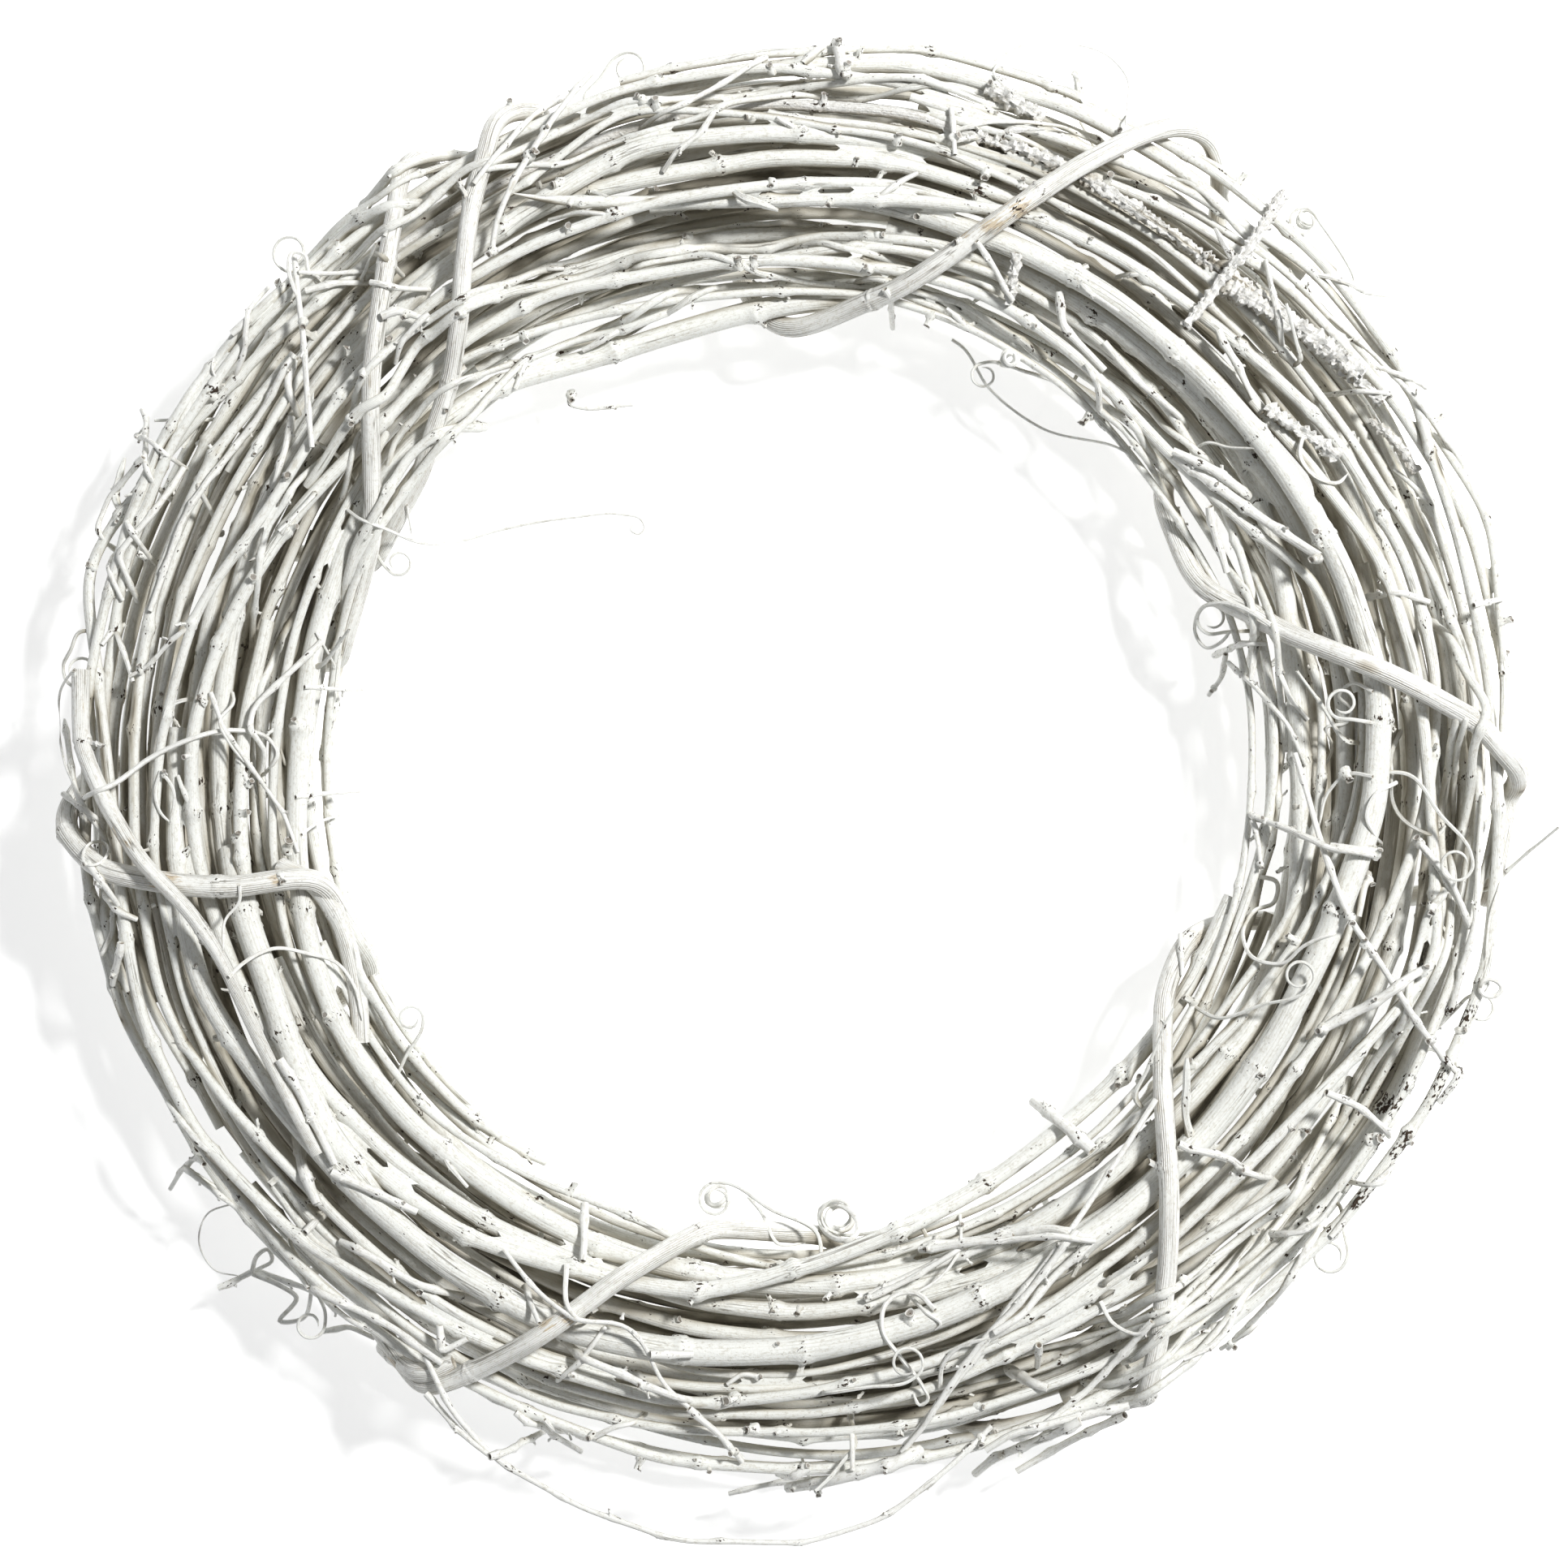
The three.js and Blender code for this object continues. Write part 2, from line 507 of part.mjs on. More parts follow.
// Joins and cuts
function toManifold(geometry) {
  return new wasm.Manifold(new wasm.Mesh({
    numProp: 3,
    vertProperties: new Float32Array(geometry.attributes.position.array),
    triVerts: new Uint32Array(geometry.index.array),
  }));
}

function fromManifold(manifold) {
  const mesh = manifold.getMesh();
  const geometry = new THREE.BufferGeometry();
  geometry.setAttribute('position', new THREE.BufferAttribute(mesh.vertProperties, 3));
  geometry.setIndex(new THREE.BufferAttribute(mesh.triVerts, 1));
  return geometry;
}

// Straight lengths of stem that a later stem has to clear
function lengths(owner, points, reach) {
  const list = [];
  for (let i = 0; i < points.length - 1; i += 1) {
    list.push({ owner, start: points[i], end: points[i + 1], reach: Math.max(reach[i], reach[i + 1]) });
  }
  return list;
}

// Nearest points of two straight lengths, as shares along each
function nearest(p0, p1, q0, q1) {
  const u = p1.clone().sub(p0);
  const v = q1.clone().sub(q0);
  const w = p0.clone().sub(q0);
  const a = u.dot(u);
  const b = u.dot(v);
  const c = v.dot(v);
  const d = u.dot(w);
  const e = v.dot(w);
  const clamp = (value) => Math.min(Math.max(value, 0), 1);
  const denominator = a * c - b * b;
  let s = denominator > TINY ? clamp((b * e - c * d) / denominator) : 0.5;
  const t = clamp((b * s + e) / c);
  s = clamp((b * t - d) / a);
  const onP = p0.clone().addScaledVector(u, s);
  const onQ = q0.clone().addScaledVector(v, t);
  return { share: s, away: onP.sub(onQ) };
}

// A stem pulled taut over what lies under it. Each point slides along its own line away from a base.
function layTaut(stem, obstacles) {
  const { bases, lines, reach, slides, low } = stem;
  const place = (i) => bases[i].clone().addScaledVector(lines[i], slides[i]);
  const points = bases.map((_, i) => place(i));
  for (let step = 0; step < TAUT_STEPS; step += 1) {
    for (let i = 0; i < points.length; i += 1) {
      const square = lines[i].lengthSq();
      let wanted = slides[i] - TAUT_MOVE / Math.sqrt(square);
      if (i > 0 && i < points.length - 1) {
        const middle = points[i - 1].clone().add(points[i + 1]).multiplyScalar(0.5);
        const taut = middle.sub(bases[i]).dot(lines[i]) / square;
        wanted = Math.max(taut, wanted);
      }
      const most = TAUT_MOVE / Math.sqrt(square);
      slides[i] += Math.min(Math.max(wanted - slides[i], -most), most);
      slides[i] = Math.max(slides[i], low[i]);
      points[i] = place(i);
    }
    for (let pass = 0; pass < TAUT_PASSES; pass += 1) {
      for (let i = 0; i < points.length - 1; i += 1) {
        for (const obstacle of obstacles) {
          const need = Math.max(reach[i], reach[i + 1]) + obstacle.reach + GAP;
          const { share, away } = nearest(points[i], points[i + 1], obstacle.start, obstacle.end);
          const distance = away.length();
          if (distance >= need) {
            continue;
          }
          const weights = [1 - share, share];
          const total = weights[0] ** 2 + weights[1] ** 2;
          [i, i + 1].forEach((k, side) => {
            const length = lines[k].length();
            const facing = Math.max(away.dot(lines[k]) / length / (distance || 1), TAUT_FACING);
            const push = Math.min((need - distance) / facing, TAUT_PUSH);
            slides[k] += push * weights[side] / total / length;
            points[k] = place(k);
          });
        }
      }
    }
  }
  return points;
}

function near(points, obstacles, margin) {
  const box = new THREE.Box3().setFromPoints(points).expandByScalar(margin);
  return obstacles.filter((o) => box.intersectsBox(new THREE.Box3().setFromPoints([o.start, o.end])));
}

// A turn round the bundle is 0 at its outer side, a quarter turn at its face, half a turn at its inner side
function vineRoute({ face, behind }) {
  const radii = face.map(([, radius]) => radius);
  const outer = Math.max(...radii);
  const inner = Math.min(...radii);
  const route = face.map(([angle, radius]) => {
    return { angle, turn: Math.acos(2 * (radius - inner) / (outer - inner) - 1) };
  });
  const [first] = route;
  const last = route[route.length - 1];
  const lean = (last.angle - first.angle) / Math.PI * VINE_BACK_LEAN;
  route.unshift({ angle: first.angle + (VINE_FROM - first.turn) * lean, turn: VINE_FROM });
  route.push({ angle: last.angle + behind, turn: VINE_TO });
  const unrolled = new THREE.CatmullRomCurve3(route.map(({ angle, turn }) => {
    return new THREE.Vector3(radians(angle) * RING_RADIUS, turn * BUNDLE_HALF_WIDTH, 0);
  }), false, 'chordal');
  return unrolled.getSpacedPoints(VINE_STEPS).map(({ x, y }) => {
    return { angle: THREE.MathUtils.radToDeg(x / RING_RADIUS), turn: y / BUNDLE_HALF_WIDTH };
  });
}

function bindingVine(vine, obstacles, floor) {
  const route = vineRoute(vine);
  const bases = route.map(({ angle }) => onRing(angle, RING_RADIUS, 0));
  const lines = route.map(({ angle, turn }) => {
    const line = onRing(angle, BUNDLE_HALF_WIDTH * Math.cos(turn), 0);
    return line.setZ(BUNDLE_HALF_DEPTH * Math.sin(turn));
  });
  const reach = route.map(() => vine.thick / 2 * CORNER_REACH);
  const low = route.map(({ turn }) => {
    const down = -Math.sin(turn);
    const onFloor = (-floor - reach[0] + VINE_CUT) / (BUNDLE_HALF_DEPTH * down);
    return down > VINE_UNDER ? onFloor : VINE_INSIDE;
  });
  const slides = route.map(() => VINE_SLACK);
  const spread = bases.map((base, i) => base.clone().addScaledVector(lines[i], VINE_SLACK));
  const points = layTaut({ bases, lines, reach, slides, low }, near(spread, obstacles, VINE_MARGIN));
  return { name: vine.name, points, reach, sides: VINE_SIDES };
}

function laidStem({ name, thick, route }, obstacles) {
  const bases = route.map(([angle, radius]) => onRing(angle, radius, 0));
  const lines = route.map(() => UP.clone());
  const last = route.length - 1;
  const reach = route.map((_, i) => spreadAt(thick, i / last) / 2 * CORNER_REACH);
  const slides = route.map(() => LAID_FROM);
  const low = route.map(() => LAID_LOW);
  const high = bases.map((base) => base.clone().setZ(BUNDLE_HALF_DEPTH));
  const points = layTaut({ bases, lines, reach, slides, low }, near(high, obstacles, LAID_MARGIN));
  return { name, points, reach, sides: THIN_CANE_SIDES };
}

// Small growth
function clearOf(points, reach, obstacles, owner) {
  return lengths(owner, points, reach).every((own) => obstacles.every((other) => {
    if (other.owner === owner) {
      return true;
    }
    const { away } = nearest(own.start, own.end, other.start, other.end);
    return away.length() > own.reach + other.reach + GAP;
  }));
}

// Root on a cane, and the way out of the bundle there
function growthRoot(canes) {
  const cane = canes[Math.floor(random() * canes.length)];
  const points = canePoints(cane);
  const index = 1 + Math.floor(random() * (points.length - 3));
  const share = between(ROOT_SHARE);
  const root = points[index].clone().lerp(points[index + 1], share);
  const centre = onRing(THREE.MathUtils.radToDeg(Math.atan2(root.y, root.x)), RING_RADIUS, 0);
  const out = root.clone().sub(centre).normalize();
  const along = points[index + 1].clone().sub(points[index]).normalize();
  return { cane, root, out, along, reach: Math.min(cane.reach[index], cane.reach[index + 1]) };
}

function budPath({ root, out, along, reach }) {
  const side = out.clone().cross(along);
  const way = out.clone().addScaledVector(along, between(BUD_LEAN));
  way.addScaledVector(side, BUD_SPREAD * (random() - 0.5)).normalize();
  const points = [root.clone(), root.clone().addScaledVector(way, reach + between(BUD_LENGTH))];
  const half = BUD_THICK / 2;
  return { points, reach: [half * Math.min(1, reach / FULL_BUD_CANE), half * BUD_POINT] };
}

function twigPath({ root, out, along, reach }) {
  const side = out.clone().cross(along);
  const forward = random() < TWIG_FORWARD ? 1 : -1;
  const way = out.clone().addScaledVector(along, forward * between(TWIG_LEAN));
  way.addScaledVector(side, TWIG_SPREAD * (random() - 0.5)).normalize();
  const bend = side.clone().multiplyScalar(random() - 0.5).addScaledVector(out, -TWIG_DROOP * random());
  const length = between(TWIG_LENGTH) + reach;
  const points = [];
  for (let i = 0; i <= TWIG_STEPS; i += 1) {
    const share = i / TWIG_STEPS;
    const point = root.clone().addScaledVector(way, length * share);
    points.push(point.addScaledVector(bend, length * TWIG_BEND * share * share));
  }
  const thick = Math.min(TWIG_THICK, reach * TWIG_MOST);
  return { points, reach: points.map((_, i) => thick / 2 * (1 - TWIG_TAPER * i / TWIG_STEPS)) };
}

// From a root on a cane to the edge of its curl, then round the curl
function tendrilPath(root, curlPlace) {
  const flat = curlPlace.clone().sub(root).setZ(0);
  const way = flat.clone().normalize();
  const turn = random() < 0.5 ? 1 : -1;
  const across = UP.clone().cross(way).multiplyScalar(turn);
  const curl = between(TENDRIL_CURL);
  const foot = curlPlace.clone().addScaledVector(across, -curl);
  const top = root.clone().lerp(foot, TENDRIL_TOP).addScaledVector(UP, TENDRIL_RISE * random());
  const points = new THREE.QuadraticBezierCurve3(root, top, foot).getPoints(3);
  for (let i = 1; i <= CURL_STEPS; i += 1) {
    const angle = i * CURL_TURN;
    const radius = curl * (1 - CURL_TIGHTEN * i);
    const point = curlPlace.clone().addScaledVector(way, radius * Math.sin(angle));
    point.addScaledVector(across, -radius * Math.cos(angle));
    points.push(point.addScaledVector(UP, i * CURL_CLIMB));
  }
  const last = points.length - 1;
  return { points, reach: points.map((_, i) => (i === last ? 0 : TENDRIL_THICK / 2)) };
}

function growTendrils(canes, obstacles) {
  const grown = [];
  for (const [angle, radius, height] of TENDRIL_CURLS) {
    const curlPlace = onRing(angle, radius, height);
    for (let tries = 0; tries < TENDRIL_TRIES; tries += 1) {
      const { cane, root } = growthRoot(canes);
      const distance = root.distanceTo(curlPlace);
      const path = tendrilPath(root, curlPlace);
      const reachable = distance > TENDRIL_LENGTH[0] && distance < TENDRIL_LENGTH[1];
      const others = near(path.points, obstacles, GROWTH_MARGIN);
      if (reachable && clearOf(path.points, path.reach, others, cane.name)) {
        grown.push({ ...path, name: cane.name });
        obstacles.push(...lengths(cane.name, path.points, path.reach));
        break;
      }
    }
  }
  return grown;
}

function withinReach(point) {
  const radius = Math.hypot(point.x, point.y);
  const inPlan = radius > GROWTH_RADIUS[0] && radius < GROWTH_RADIUS[1];
  return inPlan && point.z > GROWTH_HEIGHT[0] && point.z < GROWTH_HEIGHT[1];
}

function growOn(canes, count, makePath, obstacles) {
  const grown = [];
  for (let tries = 0; tries < count * GROWTH_TRIES && grown.length < count; tries += 1) {
    const root = growthRoot(canes);
    const path = makePath(root);
    const { name } = root.cane;
    const others = near(path.points, obstacles, GROWTH_MARGIN);
    if (path.points.every(withinReach) && clearOf(path.points, path.reach, others, name)) {
      grown.push({ ...path, name });
      obstacles.push(...lengths(name, path.points, path.reach));
    }
  }
  return grown;
}

// The wreath
const canes = [...FACE_CANES.map(faceCane), ...Array.from({ length: CORE_CANES }, (_, i) => coreCane(i))];
settle(canes);
const obstacles = canes.flatMap((cane) => lengths(cane.name, canePoints(cane), cane.reach));
const lowest = Math.min(...canes.flatMap((cane) => cane.places.map((p, i) => p.height - cane.reach[i])));
const thickest = Math.max(...BINDING_VINES.map(({ thick }) => thick));
const floor = lowest - GAP - thickest * CORNER_REACH + VINE_CUT;

const stems = [];
for (const vine of BINDING_VINES) {
  const stem = bindingVine(vine, obstacles, floor);
  stems.push(stem);
  obstacles.push(...lengths(stem.name, stem.points, stem.reach));
}
for (const laid of LAID_STEMS) {
  const stem = laidStem(laid, obstacles);
  stems.push(stem);
  obstacles.push(...lengths(stem.name, stem.points, stem.reach));
}

const growth = [
  ...growTendrils(canes, obstacles),
  ...growOn(canes, TWIGS, twigPath, obstacles),
  ...growOn(canes, BUDS, budPath, obstacles),
];

const solids = new Map();
for (const cane of canes) {
  solids.set(cane.name, caneSolid(cane));
}
for (const { name, points, reach, sides } of stems) {
  solids.set(name, sweep(points, reach, sides));
}
for (const { name, points, reach } of growth) {
  const joined = toManifold(solids.get(name)).add(toManifold(sweep(points, reach, TWIG_SIDES)));
  solids.set(name, fromManifold(joined));
}

// The floor plane cuts a small flat on each binding vine, on which the wreath lies
const floorCut = closed(new THREE.BoxGeometry(...FLOOR_CUT).translate(0, 0, floor - FLOOR_CUT[2] / 2));
for (const { name } of BINDING_VINES) {
  solids.set(name, fromManifold(toManifold(solids.get(name)).subtract(toManifold(floorCut))));
}

const wreath = new THREE.Group();
for (const [name, geometry] of solids) {
  const paint = name.includes('rough') ? ROUGH_BARK_PAINT : PAINT;
  const mesh = new THREE.Mesh(geometry, new THREE.MeshStandardMaterial(paint));
  mesh.name = name;
  wreath.add(mesh);
}
const box = new THREE.Box3().setFromObject(wreath);
const middle = box.getCenter(new THREE.Vector3());
wreath.position.set(-middle.x, -middle.y, -box.min.z);

export default wreath;
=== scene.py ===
import json
import math
import random
from collections import defaultdict

import bmesh
import bpy
import numpy as np
from mathutils import Matrix, Vector, noise
from mathutils.bvhtree import BVHTree
from mathutils.kdtree import KDTree


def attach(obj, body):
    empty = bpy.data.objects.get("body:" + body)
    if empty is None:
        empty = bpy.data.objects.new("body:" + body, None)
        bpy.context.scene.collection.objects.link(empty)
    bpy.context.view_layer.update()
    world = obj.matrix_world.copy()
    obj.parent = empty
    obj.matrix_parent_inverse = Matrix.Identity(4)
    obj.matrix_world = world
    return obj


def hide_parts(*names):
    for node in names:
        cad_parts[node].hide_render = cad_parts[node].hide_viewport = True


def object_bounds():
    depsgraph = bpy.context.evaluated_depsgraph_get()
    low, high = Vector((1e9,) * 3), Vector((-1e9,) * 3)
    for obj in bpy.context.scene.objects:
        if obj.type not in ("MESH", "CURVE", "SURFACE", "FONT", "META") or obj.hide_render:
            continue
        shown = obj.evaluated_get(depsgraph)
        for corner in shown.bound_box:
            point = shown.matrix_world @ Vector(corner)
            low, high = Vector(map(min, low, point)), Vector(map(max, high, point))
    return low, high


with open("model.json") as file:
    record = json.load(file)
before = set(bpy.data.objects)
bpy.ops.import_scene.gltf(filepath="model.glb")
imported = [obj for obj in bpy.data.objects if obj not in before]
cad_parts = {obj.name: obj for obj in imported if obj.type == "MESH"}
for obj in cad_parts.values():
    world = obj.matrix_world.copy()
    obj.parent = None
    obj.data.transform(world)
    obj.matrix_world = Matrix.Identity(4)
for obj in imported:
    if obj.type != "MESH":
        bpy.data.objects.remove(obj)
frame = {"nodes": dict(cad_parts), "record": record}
cad_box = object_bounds()
bpy.ops.object.select_all(action="DESELECT")
dice = random.Random(17)

MM = 0.001
RING_AXIS = Vector((-0.00286, 0.0044, 0))


# Camera and light
CAMERA_PLACE = (RING_AXIS.x - 0.0025, RING_AXIS.y - 0.0045, 1.335)
CAMERA_LENS = 85
SENSOR_WIDTH = 36
LIGHT_PLACE = Vector((1.05, 0.8, 1.95))
LIT_PLACE = Vector((0, 0, 0.03))
LIGHT_POWER = 60
LIGHT_WIDTH = 0.3
LIGHT_TINT = (1, 0.995, 0.98)
SKY_TINT = (0.97, 0.985, 1.0, 1)
SKY_STRENGTH = 0.25


def add_camera():
    bpy.ops.object.camera_add(location=CAMERA_PLACE, rotation=(0, 0, 0))
    camera = bpy.context.object
    camera.name = "Camera_Above"
    camera.data.lens = CAMERA_LENS
    camera.data.sensor_width = SENSOR_WIDTH
    camera.data.clip_end = 20
    bpy.context.scene.camera = camera


def add_light():
    bpy.ops.object.light_add(type="AREA", location=LIGHT_PLACE)
    light = bpy.context.object
    light.name = "Key_Upper_Right"
    light.data.shape = "DISK"
    light.data.size = LIGHT_WIDTH
    light.data.energy = LIGHT_POWER
    light.data.color = LIGHT_TINT
    light.rotation_euler = (LIT_PLACE - LIGHT_PLACE).to_track_quat("-Z", "Y").to_euler()


def add_surroundings():
    world = bpy.data.worlds.new("White_Studio")
    bpy.context.scene.world = world
    world.use_nodes = True
    sky = world.node_tree.nodes["Background"]
    sky.inputs["Color"].default_value = SKY_TINT
    sky.inputs["Strength"].default_value = SKY_STRENGTH
    add_light()
    bpy.context.scene.view_settings.view_transform = "Standard"


# The frame's stems, read as middle lines with a half thickness at each place
WAYS_ROUND = 10
CENTRE_PASSES = 3
MOST_FOLLOWED = 3000
STANDS_OUT = 1.42


def merged_surface(node):
    surface = bmesh.new()
    surface.from_mesh(node.data)
    bmesh.ops.remove_doubles(surface, verts=surface.verts, dist=1e-6)
    surface.verts.ensure_lookup_table()
    return surface


def centre_in(tree, point, along):
    """The middle of a stem near a point inside it, and its half thickness there."""
    side = along.orthogonal().normalized()
    other = along.cross(side)
    turns = [2 * math.pi * k / WAYS_ROUND for k in range(WAYS_ROUND)]
    ways = [side * math.cos(turn) + other * math.sin(turn) for turn in turns]
    half = 0
    for _ in range(CENTRE_PASSES):
        rays = [tree.ray_cast(point, way)[3] for way in ways]
        if None in rays:
            return None, 0
        most = sorted(rays)[WAYS_ROUND // 2] * 1.25
        rays = [min(ray, most) for ray in rays]
        point = point + sum((way * ray for way, ray in zip(ways, rays)), Vector()) * (2 / WAYS_ROUND)
        half = sum(rays) / len(rays)
    return point, half


def follow(tree, start, along, half):
    """Middle places of a stem from a start to its end, with half thicknesses."""
    places = []
    point, step = start.copy(), half * 0.6
    for _ in range(MOST_FOLLOWED):
        ahead, normal, _, room = tree.ray_cast(point, along)
        if ahead is None or (room < step and normal.dot(along) > 0.7):
            if ahead is not None:
                places.append((ahead, half))
            break
        found, thick = centre_in(tree, point + along * min(step, room * 0.8), along)
        if found is None or thick > half * 1.8 or (found - point).length < step * 0.05:
            break
        along = (along * 0.3 + (found - point).normalized()).normalized()
        half += 0.2 * (thick - half)
        point = found
        places.append((point, thick))
    return places


def read_stem(surface):
    """Middle line of a frame node's stem, from end to end, as an array of x, y, z and half thickness."""
    tree = BVHTree.FromBMesh(surface)
    face = max(surface.faces, key=lambda f: f.calc_area())
    edge = max(face.edges, key=lambda e: e.calc_length())
    inside = face.calc_center_median() - face.normal * 1e-5
    across = tree.ray_cast(inside, -face.normal)[3]
    along = (edge.verts[1].co - edge.verts[0].co).normalized()
    start, half = centre_in(tree, inside - face.normal * across / 2, along)
    ways = [follow(tree, start, along * way, half) for way in (1, -1)]
    places = ways[1][::-1] + [(start, half)] + ways[0]
    return np.array([[*point, thick] for point, thick in places])


def read_growth(surface, stem):
    """Middle lines of the buds, twigs and tendrils that stand out of a stem, each from its root out."""
    places = np.array([v.co for v in surface.verts])
    gaps = np.linalg.norm(places[:, None, :] - stem[None, :, :3], axis=2)
    nearest = gaps.argmin(1)
    out = gaps.min(1) > stem[nearest, 3] * STANDS_OUT
    paths, seen = [], set()
    for v in surface.verts:
        if not out[v.index] or v.index in seen:
            continue
        island, todo = [], [v]
        seen.add(v.index)
        while todo:
            one = todo.pop()
            island.append(one)
            for e in one.link_edges:
                other = e.other_vert(one)
                if out[other.index] and other.index not in seen:
                    seen.add(other.index)
                    todo.append(other)
        level = [one for one in island if any(not out[e.other_vert(one).index] for e in one.link_edges)]
        if not level:
            continue
        reached = {one.index for one in level}
        foot = stem[nearest[level[0].index]]
        path = [foot]
        while level:
            group = np.array([one.co for one in level])
            middle = group.mean(0)
            half = np.linalg.norm(group - middle, axis=1).mean() * 0.8
            path.append(np.array([*middle, half]))
            following = {}
            for one in level:
                for e in one.link_edges:
                    other = e.other_vert(one)
                    if out[other.index] and other.index not in reached:
                        following[other.index] = other
            reached |= set(following)
            level = list(following.values())
        kept = [path[0]]
        for place in path[1:]:
            if np.linalg.norm(place[:3] - kept[-1][:3]) > 0.8 * MM:
                kept.append(place)
        if len(kept) > 1:
            paths.append(np.array(kept))
    return paths


# Paths
def lengths_along(line):
    steps = np.linalg.norm(np.diff(line[:, :3], axis=0), axis=1)
    return np.concatenate([[0], np.cumsum(steps)])


def blended(places, at, values):
    """Rows of values known at some lengths, at other places between them."""
    return np.stack([np.interp(places, at, values[:, k]) for k in range(values.shape[1])], axis=1)


def resampled(line, step):
    at = lengths_along(line)
    count = max(3, int(round(at[-1] / step)) + 1)
    return blended(np.linspace(0, at[-1], count), at, line)


def smoothed(line, reach, step):
    """The line rounded over a reach on both sides, with its ends kept where they are."""
    width = int(math.ceil(2.5 * reach / step))
    if width < 1 or len(line) < 4:
        return line
    kernel = np.exp(-0.5 * (np.arange(-width, width + 1) * step / reach) ** 2)
    kernel /= kernel.sum()
    before = 2 * line[0] - line[1:width + 1][::-1]
    after = 2 * line[-1] - line[-width - 1:-1][::-1]
    if len(before) < width or len(after) < width:
        return smoothed(line, reach * 0.5, step) if reach > step else line
    padded = np.concatenate([before, line, after])
    return np.stack([np.convolve(column, kernel, mode="valid") for column in padded.T], axis=1)


def rounded(points, step):
    """A smooth curve through a few points."""
    points = np.asarray(points, float)
    at = lengths_along(points)
    knots = at / at[-1]
    slopes = np.gradient(points, knots, axis=0)
    t = np.linspace(0, 1, max(4, int(at[-1] / step)))
    index = np.clip(np.searchsorted(knots, t, side="right") - 1, 0, len(knots) - 2)
    width = (knots[index + 1] - knots[index])[:, None]
    u = ((t - knots[index])[:, None]) / width
    a, b = points[index], points[index + 1]
    da, db = slopes[index] * width, slopes[index + 1] * width
    leaving = (2 * u**3 - 3 * u**2 + 1) * a + (u**3 - 2 * u**2 + u) * da
    return leaving + (3 * u**2 - 2 * u**3) * b + (u**3 - u**2) * db


def section_frames(line):
    """Three directions at each place of a line: along it and two across it, without twist."""
    tangent = np.gradient(line[:, :3], axis=0)
    tangent /= np.linalg.norm(tangent, axis=1)[:, None]
    normal = np.cross(tangent[0], [0.31, 0.17, 0.93])
    normals = np.empty_like(tangent)
    for i, way in enumerate(tangent):
        normal = normal - way * normal.dot(way)
        normal /= np.linalg.norm(normal)
        normals[i] = normal
    return tangent, normals, np.cross(tangent, normals)


def on_ring(angle, radius, height=0.0):
    turn = math.radians(angle)
    across, up = radius * math.cos(turn), radius * math.sin(turn)
    return Vector((RING_AXIS.x + across, RING_AXIS.y + up, height))


# Stock stems: straight, one unit long and round, modelled once for each fineness and then laid along paths
stock = {}
RIM_WIDTH = 0.16
WOOD_WIDTH = 0.4

# How many cuts are made between the rows that are there, one number after the other, from coarse to fine
CUTS = [(5,), (9,), (15,), (24,), (39,), (59,), (7, 9), (9, 9), (9, 12), (11, 14), (14, 15), (15, 19),
        (19, 19), (19, 25), (23, 27), (27, 29)]


def pick(stem, wanted):
    """Selects, in edit mode, the edges that a test on their two ends picks."""
    shape = bmesh.from_edit_mesh(stem.data)
    bpy.ops.mesh.select_all(action="DESELECT")
    for edge in shape.edges:
        if wanted(edge.verts[0].co, edge.verts[1].co):
            edge.select_set(True)
    bmesh.update_edit_mesh(stem.data)


def pick_faces(stem, wanted):
    """Selects, in edit mode, the faces that a test picks."""
    shape = bmesh.from_edit_mesh(stem.data)
    bpy.ops.mesh.select_all(action="DESELECT")
    for face in shape.faces:
        if wanted(face):
            face.select_set(True)
    bmesh.update_edit_mesh(stem.data)


def stock_stem(sides, cuts):
    """A straight stem with many rings. Its two ends are cut flat, with a rim and a pith inside it."""
    if (sides, cuts) in stock:
        return stock[sides, cuts]
    bpy.ops.mesh.primitive_cylinder_add(vertices=sides, radius=1, depth=1, end_fill_type="NGON")
    stem = bpy.context.object
    bpy.ops.object.mode_set(mode="EDIT")
    bpy.ops.mesh.select_all(action="SELECT")
    bpy.ops.transform.translate(value=(0, 0, 0.5))
    bpy.ops.mesh.select_mode(type="EDGE")
    for number in cuts:
        pick(stem, lambda a, b: abs(a.z - b.z) > 1e-4)
        bpy.ops.mesh.subdivide(number_cuts=number)
    bpy.ops.mesh.select_mode(type="FACE")
    pick_faces(stem, lambda face: abs(face.normal.z) > 0.9)
    bpy.ops.mesh.inset(thickness=RIM_WIDTH, use_even_offset=False)
    bpy.ops.mesh.inset(thickness=WOOD_WIDTH, use_even_offset=False)
    bpy.ops.mesh.select_mode(type="VERT")
    bpy.ops.object.mode_set(mode="OBJECT")
    mesh = stem.data.copy()
    bpy.data.objects.remove(stem)
    stock[sides, cuts] = (mesh, corners_of(mesh))
    return stock[sides, cuts]


def stock_for(sides, rows):
    """The stock stem with at least this many rows, or the finest one."""
    enough = (cuts for cuts in CUTS if math.prod(number + 1 for number in cuts) >= rows)
    return stock_stem(sides, next(enough, CUTS[-1]))


def corners_of(mesh):
    co = np.empty(len(mesh.vertices) * 3)
    mesh.vertices.foreach_get("co", co)
    return co.reshape(-1, 3)


def put_values(mesh, name, values):
    """Gives a mesh a named value, or a vector, at each of its corners."""
    kind, field = ("FLOAT_VECTOR", "vector") if values.ndim == 2 else ("FLOAT", "value")
    attribute = mesh.attributes.get(name) or mesh.attributes.new(name, kind, "POINT")
    attribute.data.foreach_set(field, values.astype(np.float32).ravel())


def linked(name, mesh):
    piece = bpy.data.objects.new(name, mesh)
    bpy.context.collection.objects.link(piece)
    return piece


